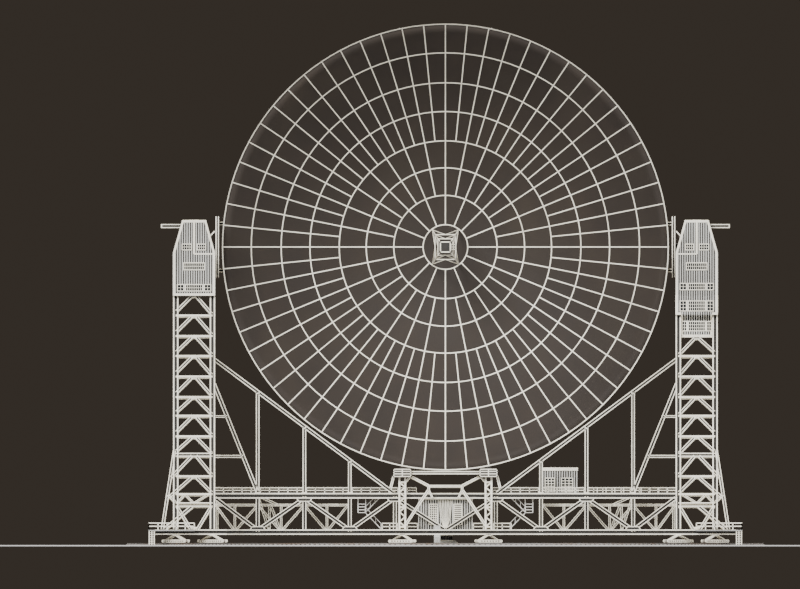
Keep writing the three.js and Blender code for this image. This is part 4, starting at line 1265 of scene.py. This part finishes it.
# %% Cabin and hut
CABIN_HALF, CABIN_Y, CABIN_FOOT, CABIN_TOP = 4.55, 4.2, 2.3, 7.6
CABIN_WINDOW_Z = (3.2, 6.65)
HUT_LOW, HUT_HIGH = (16.6, 1.3, 8.6), (22.4, 4.4, 12.85)
HUT_WINDOW_Z = (8.75, 11.1)


def clad_box(bm, low, high, pitch, width=0.15, proud=0.08):
    """Vertical ribs on the four walls of a box."""
    for axis in (0, 1):
        other = 1 - axis
        count = round((high[axis] - low[axis]) / pitch)
        for i in range(count + 1):
            at = low[axis] + (high[axis] - low[axis]) * i / count
            for wall in (low[other], high[other]):
                start, stop = [0, 0, low[2] + 0.02], [0, 0, high[2] - 0.02]
                start[axis] = stop[axis] = at
                start[other] = stop[other] = wall
                bar(bm, start, stop, width, proud * 2, (Y, X)[axis])


def cabin(frames, panes):
    for end in (-1, 1):
        window(frames, panes, -2.7, -1.4, *CABIN_WINDOW_Z, 4, 9, end, lambda z: CABIN_Y, grid=0.1)
        window(frames, panes, 1.45, 2.8, *CABIN_WINDOW_Z, 1, 10, end, lambda z: CABIN_Y, grid=0.16)
    block(frames, (-4.7, -4.35, 7.42), (4.7, 4.35, 7.66))
    for i in range(11):
        x = -4.5 + i * 0.9
        block(frames, (x - 0.06, -4.3, 7.65), (x + 0.06, 4.3, 7.74))
    for x in (-3.15, 3.15):
        block(frames, (x - 0.8, -1.2, 7.65), (x + 0.8, 1.2, 7.9))
        block(panes, (x - 0.65, -1.05, 7.85), (x + 0.65, 1.05, 7.93))


def hut(frames, panes):
    (x1, y1, _), (x2, y2, z2) = HUT_LOW, HUT_HIGH
    for left, right in ((17.0, 18.6), (19.8, 21.7)):
        window(frames, panes, left, right, *HUT_WINDOW_Z, 3, 5, -1, lambda z: -y1, grid=0.12)
    block(frames, (x1 - 0.2, y1 - 0.2, z2 - 0.5), (x2 + 0.2, y2 + 0.2, z2 + 0.04))
    for i in range(9):
        x = x1 + (x2 - x1) * i / 8
        block(frames, (x - 0.05, y1 - 0.1, z2 + 0.03), (x + 0.05, y2 + 0.1, z2 + 0.1))


def cabin_and_hut():
    ribs, frames, panes = bmesh.new(), bmesh.new(), bmesh.new()
    clad_box(ribs, (-CABIN_HALF, -CABIN_Y, CABIN_FOOT), (CABIN_HALF, CABIN_Y, CABIN_TOP), 0.42)
    clad_box(ribs, HUT_LOW, HUT_HIGH, 0.4)
    cabin(frames, panes)
    hut(frames, panes)
    finish_piece(ribs, "cabin_and_hut_ribs", "turntable", RIB_PAINT)
    finish_piece(frames, "cabin_and_hut_frames", "turntable", SEAM_WHITE)
    finish_piece(panes, "cabin_and_hut_panes", "turntable", WINDOW_GLASS)


cabin_and_hut()

# %% [markdown]
# Cables gather from the cabin roof down towards the pivot, on both sides of it. In the drawing they
# are a fan of light lines with a waist, so each cable is two straight bars that meet there.

# %% Cable fan
FAN_HALF = 4
FAN_STOPS = ((0.27, 4.4, 7.3), (0.2, 4.42, 4.4), (0.06, 4.4, 2.45))
CABLE = 0.1


def cable_fan():
    bm = bmesh.new()
    for end in (-1, 1):
        for i in range(-FAN_HALF, FAN_HALF + 1):
            top, waist, foot = [Vector((i * pitch, end * y, z)) for pitch, y, z in FAN_STOPS]
            bar(bm, top, waist, CABLE)
            bar(bm, waist, foot, CABLE)
    return finish_piece(bm, "cable_fan", "turntable", WHITE_STEEL)


cable_fan()

# %% [markdown]
# Handrails run along every walkway: two rails and a post every metre and a half. One function
# makes any straight run of them, and the lists below say where the runs are. The right walkway
# widens to a deck under the hut, so its rear rail goes round that.

# %% Handrails
WALK_Y, DECK_Y = 1.14, 4.44
EDGE_RUNS = ((-10.8, -8.2), (-6.5, -4.75), (4.75, 6.5), (8.2, 11.2))
PLATFORM_OUT, PLATFORM_IN = 50.55, 42.8
PLATFORM_Y, PLATFORM_BACK = 29.65, 28.6
PLATFORM_RAILS = (0.6, 1.15)


def handrail(bm, start, end, heights=(0.4, 0.85), pitch=1.55, thick=0.17):
    start, end = Vector(start), Vector(end)
    for height in heights:
        bar(bm, start + Z * height, end + Z * height, thick)
    count = max(1, round((end - start).length / pitch))
    for i in range(count + 1):
        foot = start.lerp(end, i / count)
        bar(bm, foot, foot + Z * heights[-1], thick)


def handrails():
    bm = bmesh.new()
    deck, tower = GIRDER_TOP + 0.1, WALL_X - 0.1
    for y in (-WALK_Y, WALK_Y):
        handrail(bm, (-4.95, y, deck), (-tower, y, deck))
    handrail(bm, (8.05, -WALK_Y, deck), (tower, -WALK_Y, deck))
    handrail(bm, (8.05, WALK_Y, deck), (15.9, WALK_Y, deck))
    handrail(bm, (24.4, WALK_Y, deck), (tower, WALK_Y, deck))
    handrail(bm, (15.95, DECK_Y, deck), (24.35, DECK_Y, deck))
    handrail(bm, (24.35, WALK_Y, deck), (24.35, DECK_Y, deck))
    for end in (-1, 1):
        y = end * (GIRDER_Y + 0.2)
        for low, high in EDGE_RUNS:
            handrail(bm, (low, y, CHORD_TOP), (high, y, CHORD_TOP), (0.55, 1.1), 1.3)
        for side in (-1, 1):
            corner = (side * PLATFORM_OUT, end * PLATFORM_Y, CHORD_TOP)
            handrail(bm, corner, (side * PLATFORM_IN, end * PLATFORM_Y, CHORD_TOP), PLATFORM_RAILS)
            back = (side * PLATFORM_OUT, end * PLATFORM_BACK, CHORD_TOP)
            handrail(bm, back, corner, PLATFORM_RAILS)
    return finish_piece(bm, "handrails", "turntable", SEAM_WHITE)


handrails()

# %% [markdown]
# Stairs and short ladders. Flights of stairs hang beside the centre of the girder and turn on a
# small caged landing. A pair of narrow ladders leads up to each end platform.

# %% Stairs and end ladders
def flight(bm, start, end, width, pitch=0.34):
    start, end = Vector(start), Vector(end)
    for y in (-width / 2, width / 2):
        bar(bm, start + Y * y, end + Y * y, 0.16, 0.1, Y)
        bar(bm, start + Y * y + Z * 0.95, end + Y * y + Z * 0.95, 0.1)
        for i in range(4):
            foot = (start + Y * y).lerp(end + Y * y, i / 3)
            bar(bm, foot, foot + Z * 0.95, 0.08)
    steps = max(3, round(abs(end.z - start.z) / pitch))
    for i in range(steps + 1):
        tread = start.lerp(end, i / steps)
        block(bm, tread - Vector((0.14, width / 2, 0.03)), tread + Vector((0.14, width / 2, 0.03)))


STAIR_Y, STAIR_WIDTH = -3.4, 0.8
LANDING_X, LANDING_Z = (13.6, 14.9), (5.15, 5.27)
CAGE_RAILS = (5.7, 6.2, 6.67)


def landing(bm, side):
    """The small caged landing where the two flights turn."""
    (near, far), (low, high) = [side * x for x in LANDING_X], LANDING_Z
    block(bm, (near, STAIR_Y - 0.7, low), (far, STAIR_Y + 0.7, high))
    front, rear = STAIR_Y - 0.68, STAIR_Y + 0.68
    for z in CAGE_RAILS:
        for y in (front, rear):
            bar(bm, (near, y, z), (far, y, z), 0.14)
        bar(bm, (far, front, z), (far, rear, z), 0.14)
    for x in (near, far):
        for y in (STAIR_Y - 0.66, STAIR_Y + 0.66):
            bar(bm, (x, y, 5.2), (x, y, GIRDER_TOP - 0.75), 0.16)


def stairs():
    bm = bmesh.new()
    for side in (-1, 1):
        flight(bm, (side * 11.0, STAIR_Y, 2.45), (side * 13.7, STAIR_Y, 5.25), STAIR_WIDTH)
        flight(bm, (side * 13.6, STAIR_Y, 5.3), (side * 11.2, STAIR_Y, 7.75), STAIR_WIDTH)
        landing(bm, side)
    return finish_piece(bm, "stairs", "turntable", GRATING_LIGHT)


END_LADDER_Y, END_LADDER_RAILS = 29.6, (49.62, 50.05, 50.5)
END_RUNGS = [-0.05 + i * 0.3 for i in range(8)]


def end_ladders():
    bm = bmesh.new()
    for side in (-1, 1):
        for end in (-1, 1):
            y = end * END_LADDER_Y
            for x in END_LADDER_RAILS:
                bar(bm, (side * x, y, -0.29), (side * x, y, 2.2), 0.1, 0.14, X)
            for z in END_RUNGS:
                bar(bm, (side * 49.6, y, z), (side * 50.52, y, z), 0.07)
    return finish_piece(bm, "end_ladders", "turntable", SEAM_WHITE)


stairs()
end_ladders()

# %% [markdown]
# Open gratings cover the walkways. A real grating is bars a hand apart. Here slats on two bearers
# give the same look from above and below.

# %% Gratings
WALKWAY_START = {-1: 4.9, 1: 8.0}


def grating(bm, x1, x2, y1, y2, top, pitch=0.5):
    for y in (y1 + 0.05, (y1 + y2) / 2, y2 - 0.05):
        bar(bm, (x1, y, top - 0.05), (x2, y, top - 0.05), 0.1, 0.09, Y)
    count = round((x2 - x1) / pitch)
    for i in range(count + 1):
        x = x1 + 0.05 + (x2 - x1 - 0.1) * i / count
        bar(bm, (x, y1, top - 0.03), (x, y2, top - 0.03), 0.28, 0.05, Z)


for side_name, side in SIDES:
    bm = bmesh.new()
    low, high = sorted((side * WALKWAY_START[side], side * WALL_X))
    grating(bm, low, high, -1.2, 1.2, GIRDER_TOP + 0.1)
    if side > 0:
        grating(bm, 15.9, 24.4, 1.2, 4.5, GIRDER_TOP + 0.1)
    node = f"{side_name}_walkway"
    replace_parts(finish_piece(bm, f"{node}_grating", "turntable", GRATING), node)

for side_name, side in SIDES:
    for end_name, end in ENDS:
        bm = bmesh.new()
        x1, x2 = sorted((side * 42.7, side * 50.6))
        y1, y2 = sorted((end * 28.46, end * 29.75))
        grating(bm, x1, x2, y1, y2, CHORD_TOP)
        block(bm, (x1, y1, 2.08), (x2, y1 + 0.1, 2.27))
        block(bm, (x1, y2 - 0.1, 2.08), (x2, y2, 2.27))
        node = f"{side_name}_{end_name}_platform"
        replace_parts(finish_piece(bm, f"{node}_grating", "turntable", GRATING), node)

# %% [markdown]
# The wheel sets. A low beam with rounded ends holds a row of small wheels, and two arms rise to
# the cap on which the sill stands. The side plates are outlines pushed to a thickness, because a
# bar has no round ends. Each set is turned to run along its track.

# %% Wheel sets and sills
WHEEL_RADIUS, WHEEL_PITCH = 0.275, 0.62
SILL_Z = 1.89


def outline_plate(bm, outline, near, far, place):
    """A flat outline of (across, z) corners, pushed from near to far along its own y."""
    rings = [[bm.verts.new(place @ Vector((x, y, z))) for x, z in outline] for y in (near, far)]
    bm.faces.new(rings[0])
    bm.faces.new(list(reversed(rings[1])))
    for i in range(len(outline)):
        j = (i + 1) % len(outline)
        bm.faces.new((rings[0][j], rings[0][i], rings[1][i], rings[1][j]))


def rounded_beam(half, low, high, steps=6):
    radius = (high - low) / 2
    middle = (high + low) / 2
    right = [
        (half - radius + radius * math.cos(a), middle + radius * math.sin(a))
        for a in [-math.pi / 2 + math.pi * i / steps for i in range(steps + 1)]
    ]
    return right + [(-x, 2 * middle - z) for x, z in right]


def wheel_set(steel, wheels, x, y, half, width):
    """One wheel set, turned so that its wheels stand along the track."""
    turn = math.atan2(y, x) + math.pi / 2
    place = Matrix.Translation((x, y, 0)) @ Matrix.Rotation(turn, 4, "Z")
    across = (place.to_3x3() @ Y).normalized()
    for sign in (-1, 1):
        near, far = sorted((sign * width / 2, sign * (width / 2 - 0.16)))
        outline_plate(steel, rounded_beam(half, 0.1, 0.62), near, far, place)
    count = int((half - 0.25) * 2 / WHEEL_PITCH)
    for i in range(count):
        offset = (i - (count - 1) / 2) * WHEEL_PITCH
        drum(wheels, place @ Vector((offset, 0, 0.28)), across, WHEEL_RADIUS, width - 0.36, 20)
        drum(wheels, place @ Vector((offset, 0, 0.34)), across, 0.13, width + 0.06, 12)
    for sign in (-1, 1):
        low = place @ Vector((sign * half * 0.72, 0, 0.55))
        top = place @ Vector((sign * 0.3, 0, 1.36))
        bar(steel, low, top, 0.15, width * 0.8, across)
    block_size = Vector((0.42, 0.45, 0))
    block(steel, Vector((x, y, 1.3)) - block_size, Vector((x, y, 1.56)) + block_size)


def foot_pieces(name, x1, x2, y, width, sets, half):
    """A sill on its wheel sets. The centre sills are tied back to the girder."""
    steel, wheels = Steelwork(), bmesh.new()
    steel.member((x1, y, SILL_Z), (x2, y, SILL_Z), 0.9, width, Y, 0.2)
    for x in sets:
        wheel_set(steel.flanges, wheels, x, y, half, 0.96)
    if abs(y) == COLUMN_FOOT_Y:
        for x in sets:
            near, far = sorted((math.copysign(5.31, y), y))
            steel.rod((x, near, SILL_Z), (x, far, SILL_Z), 0.6, 0.6, X)
    steel.finish(name, "turntable", name)
    piece = finish_piece(wheels, f"{name}_wheels", "turntable", RAIL_STEEL)
    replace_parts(piece, name)


for end_name, end in ENDS:
    for side_name, side in SIDES:
        x1, x2 = sorted((side * 37.3, side * CHORD_END))
        sets = [side * INNER, side * OUTER]
        foot_pieces(f"{side_name}_tower_{end_name}_foot", x1, x2, end * FOOT_Y, 0.86, sets, 3.85)
    sets = [-COLUMN_X, COLUMN_X]
    foot_pieces(f"centre_foot_{end_name}", -9.95, 9.95, end * COLUMN_FOOT_Y, 0.9, sets, 2.7)

# %% [markdown]
# Tracks: sleepers under two rails, bent round the circle. The rail has a head, a thin web and a
# foot, turned about the pivot as one profile. The top of the rail is polished by the wheels.

# %% Tracks
RAIL_OFFSETS = (-0.36, 0.36)
RAIL_HALF = ((0.16, -0.2), (0.16, -0.17), (0.03, -0.14), (0.03, -0.06), (0.08, -0.05), (0.08, 0.0))


def rail_profile(r):
    """The outline of a rail at radius r: up its outer half and down the mirrored one."""
    return [(r + x, 0, z) for x, z in RAIL_HALF] + [(r - x, 0, z) for x, z in reversed(RAIL_HALF)]


def track(name, radius, sleepers, steps):
    rails, beds = bmesh.new(), bmesh.new()
    for offset in RAIL_OFFSETS:
        round_ring(rails, rail_profile(radius + offset), steps, Vector(), Z)
    half = math.pi / sleepers
    for i in range(sleepers):
        angle = math.tau * i / sleepers
        turn = Matrix.Rotation(angle, 4, "Z")
        size = Matrix.Diagonal((1.2, radius * half * 1.1, 0.09, 1))
        bmesh.ops.create_cube(beds, size=1, matrix=turn @ Matrix.Translation((radius, 0, -0.245)) @ size)
        for offset in RAIL_OFFSETS:
            for out in (-0.176, 0.176):
                drum(rails, turn @ Vector((radius + offset + out, 0, -0.19)), Z, 0.04, 0.06, 8)
    bmesh.ops.recalc_face_normals(rails, faces=rails.faces)
    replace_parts(finish_piece(rails, f"{name}_rails", "ground", RAIL_STEEL), name)
    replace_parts(finish_piece(beds, f"{name}_sleepers", "ground", SLEEPER), name)


track("outer_track", 53.8, 380, 256)
track("second_track", 48.6, 340, 256)
track("inner_track", 11.6, 84, 96)

# %% [markdown]
# The feed tower is a slender lattice of four posts. It carries the focus box, a steel frame round
# dark panels with a small equipment box at its side. Both stand clear against the dark dish. The
# lattice narrows twice, so it is described by three stations along its length.

# %% Feed tower and focus box
FEED_STATIONS = [(18.9, 2.22, 2.93), (10.0, 1.76, 2.12), (0.9, 1.27, 1.4)]
CORNERS = [(-1, -1), (1, -1), (1, 1), (-1, 1)]
FEED_POST, FEED_LACE = 0.17, 0.12


def feed_corner(station, i):
    """A corner of the lattice, from the distance out, half width and half height of a station."""
    y, x, z = FEED_STATIONS[station]
    sign_x, sign_z = CORNERS[i % 4]
    return Vector((sign_x * x, y, AXIS_Z + sign_z * z))


def feed_tower():
    bm = bmesh.new()
    for i in range(4):
        normal = Z if i % 2 == 0 else X
        for low, high in ((0, 1), (1, 2)):
            bar(bm, feed_corner(low, i), feed_corner(high, i), FEED_POST, FEED_POST, normal)
        for station in (1, 2):
            left, right = feed_corner(station, i), feed_corner(station, i + 1)
            middle = (left + right) / 2
            bar(bm, left, right, FEED_POST, FEED_POST, Y)
            for root in (feed_corner(station - 1, i), feed_corner(station - 1, i + 1)):
                bar(bm, root, middle, FEED_LACE, FEED_LACE, normal)
    return finish_piece(bm, "feed_lattice", "dish", WHITE_STEEL)


def box_frame(bm, low, high, thick):
    """Bars along the twelve edges of a box, kept inside it."""
    inset = Vector((1, 1, 1)) * thick / 2
    xs, ys, zs = zip(Vector(low) + inset, Vector(high) - inset)
    corner = [Vector((x, y, z)) for x in xs for y in ys for z in zs]
    for i in range(8):
        for bit in (1, 2, 4):
            if not i & bit:
                along = (corner[i | bit] - corner[i]).normalized() * thick / 2
                bar(bm, corner[i] - along, corner[i | bit] + along, thick, thick, Z if bit != 1 else Y)


def focus_box():
    frames, panels = bmesh.new(), bmesh.new()
    box_frame(frames, (-0.96, -0.6, AXIS_Z - 0.96), (0.96, 0.7, AXIS_Z + 0.96), 0.21)
    block(panels, (-0.88, -0.5, AXIS_Z - 0.88), (0.88, 0.62, AXIS_Z + 0.88))
    drum(panels, (0, -0.5, AXIS_Z), Y, 0.42, 0.12, 40)
    for i in range(8):
        angle = math.tau * i / 8
        bolt = (0.56 * math.cos(angle), -0.5, AXIS_Z + 0.56 * math.sin(angle))
        drum(panels, bolt, Y, 0.04, 0.08, 8)
    box_frame(frames, (0.9, -0.3, AXIS_Z - 0.49), (1.8, 0.5, AXIS_Z + 0.49), 0.13)
    block(panels, (0.9, -0.24, AXIS_Z - 0.43), (1.74, 0.44, AXIS_Z + 0.43))
    bar(frames, (1.35, -0.25, AXIS_Z - 0.45), (1.35, -0.25, AXIS_Z + 0.45), 0.12, 0.1)
    bar(frames, (0.95, -0.25, AXIS_Z), (1.75, -0.25, AXIS_Z), 0.12, 0.1)
    for sign_x, sign_z in CORNERS:
        start = (sign_x * 0.8, 0.3, AXIS_Z + sign_z * 0.8)
        bar(frames, start, (sign_x * 1.24, 0.86, AXIS_Z + sign_z * 1.36), 0.14)
    frames = finish_piece(frames, "focus_box_frame", "dish", WHITE_STEEL)
    panels = finish_piece(panels, "focus_box_panels", "dish", IRON_AND_PAINTED_SHADE)
    return frames, panels


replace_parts(feed_tower(), "feed_tower")
for piece in focus_box():
    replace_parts(piece, "focus_box")

# %% [markdown]
# The pivot stands on a stepped plinth: an iron drum between two flanges with a ring of bolts. A
# cable duct comes down beside it from the girder.

# %% Pivot and cable duct
BOLT_RING, PIVOT_BOLTS, RIB_RING = 1.26, 16, 1.18


def pivot():
    steps, iron, flanges = bmesh.new(), bmesh.new(), bmesh.new()
    drum(steps, (0, 0, -0.04), Z, 2.1, 0.52, 64)
    drum(steps, (0, 0, 0.33), Z, 1.85, 0.24, 64)
    drum(iron, (0, 0, 0.9), Z, 1.14, 0.9, 64)
    for i in range(PIVOT_BOLTS):
        angle = math.tau * i / PIVOT_BOLTS
        out = Vector((math.cos(angle), math.sin(angle), 0))
        drum(iron, out * BOLT_RING + Z * 0.6, Z, 0.05, 0.1, 8)
        bar(iron, out * RIB_RING + Z * 0.55, out * RIB_RING + Z * 1.25, 0.06, 0.2, out.cross(Z))
    for z in (0.5, 1.3):
        drum(flanges, (0, 0, z), Z, 1.34, 0.12, 64)
    made = (
        ("pivot_plinth", steps, CONCRETE, "cast_concrete"),
        ("pivot_iron", iron, IRON_AND_PAINTED_SHADE, "machine_paint"),
        ("pivot_flanges", flanges, WHITE_STEEL, "machine_paint"),
    )
    for name, bm, paint, slot in made:
        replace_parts(finish_piece(bm, name, "ground", paint), "pivot_base")


def cable_duct():
    bm = bmesh.new()
    block(bm, (-1.85, -5.75, 0.15), (-0.95, -5.35, 2.95))
    for x in (-1.85, -1.4, -0.95):
        bar(bm, (x, -5.76, 0.1), (x, -5.76, 3.0), 0.16, 0.1)
    for z in (0.15, 1.05, 1.95, 2.92):
        bar(bm, (-1.9, -5.76, z), (-0.9, -5.76, z), 0.16, 0.12)
    return finish_piece(bm, "cable_duct", "turntable", RIB_PAINT)


pivot()
cable_duct()

# %% [markdown]
# The rack wheel on each end of the tipping axis: a toothed gear between two spoked discs. Seen
# from the front it shows two bright edges and the dark gear between them. The gear's near-black
# paint is partly the iron's own colour and partly painted shade of the gap between the discs. Discs,
# teeth and bolts all stand round the same axis, so one helper gives their directions.

# %% Rack wheels, stubs and trunnions
RACK_IN, RACK_OUT = 38.62, 39.18
RIM_LOW, RIM_HIGH, DISC = 4.4, 5.22, 0.16
TEETH, RACK_SPOKES = 96, 12
ARM_Y = 1.55


def on_circle(i, count):
    """The i-th of a number of directions round the tipping axis."""
    angle = math.tau * i / count
    return Vector((0, math.cos(angle), math.sin(angle)))


def rack_wheel(side):
    """The two bright spoked discs, and the dark gear with its shaft, bolts and arms."""
    rims, gear = bmesh.new(), bmesh.new()
    centre = Vector((0, 0, AXIS_Z))
    for near in (RACK_IN, RACK_OUT - DISC):
        far = near + DISC
        ring = [(side * x, r, AXIS_Z) for x, r in
                ((near, RIM_LOW), (near, RIM_HIGH), (far, RIM_HIGH), (far, RIM_LOW))]
        round_ring(rims, ring, 96, centre, X)
        hub = centre + X * side * (near + DISC / 2)
        drum(rims, hub, X, 1.35, DISC, 40)
        for i in range(RACK_SPOKES):
            out = on_circle(i, RACK_SPOKES)
            bar(rims, hub + out * 1.2, hub + out * 4.5, 0.4, 0.14, X)
    hub = centre + X * side * (RACK_IN + RACK_OUT) / 2
    drum(gear, hub, X, 4.5, 0.2, 96)
    for i in range(TEETH):
        out = on_circle(i, TEETH)
        bar(gear, hub + out * RIM_LOW, hub + out * 4.8, 0.17, 0.2, X)
    drum(gear, centre + X * side * 39.4, X, 0.59, 1.6, 40)
    for i in range(12):
        drum(gear, centre + X * side * RACK_OUT + on_circle(i + 0.5, 12), X, 0.11, 0.08, 8)
    low, high = sorted((side * 37.6, side * (RACK_IN + 0.08)))
    for z in (AXIS_Z - 4.0, AXIS_Z + 4.0):
        for rise in (-0.22, 0.22):
            bar(rims, (low, ARM_Y, z + rise), (high, ARM_Y, z + rise), 0.14, 1.2, Y)
        bar(gear, (low, ARM_Y, z), (high, ARM_Y, z), 0.34, 0.5, Y)
    return rims, gear


for side_name, side in SIDES:
    rims, gear = rack_wheel(side)
    bmesh.ops.recalc_face_normals(rims, faces=rims.faces)
    node = f"{side_name}_rack_wheel"
    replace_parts(finish_piece(rims, f"{node}_rims", "dish", WHITE_STEEL), node)
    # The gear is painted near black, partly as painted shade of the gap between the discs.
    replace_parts(finish_piece(gear, f"{node}_gear", "dish", IRON_AND_PAINTED_SHADE), node)

# %% [markdown]
# A jib stands out from the head of each housing, for lifting parts. It is two flanges with a sunk
# web, like the girder, and a plate closes its end.

# %% Jibs
JIB_Z, JIB_END = 54.07, 48.5

for side_name, side in SIDES:
    steel = Steelwork()
    node = f"{side_name}_jib"
    inner, outer = side * (TOWER_X + half_width(JIB_Z) + 0.02), side * JIB_END
    steel.member((inner, 0, JIB_Z), (outer, 0, JIB_Z), 0.68, 0.66, Y, 0.17)
    plate = outer - side * 0.1
    steel.rod((plate, 0, JIB_Z - 0.33), (plate, 0, JIB_Z + 0.33), 0.2, 0.66, Y)
    steel.finish(node, "turntable", node)

# %% [markdown]
# The CAD solids that keep their shape get their paint by assigning to their material slots.

# %% Paint the solids
# The cladding solids take the near-black painted shade of the valleys between the ribs.
SOLID_PAINT = {
    "tower_paint": WHITE_STEEL, "dish_skin": DISH_BACK, "cladding": CLADDING_PAINTED_SHADE,
    "machine_paint": MACHINE_GREY, "rail_steel": RAIL_STEEL, "deck_plate": GRATING,
    "cast_concrete": CONCRETE,
}
slot_of = {row["node"]: row["material_slot"] for row in frame["record"]["subparts"]}
for node, solid in frame["nodes"].items():
    paint = SOLID_PAINT[slot_of[node]]
    if not solid.material_slots:
        solid.data.materials.append(paint)
    for place in solid.material_slots:
        place.material = paint
print("painted", len(frame["nodes"]), "solids")
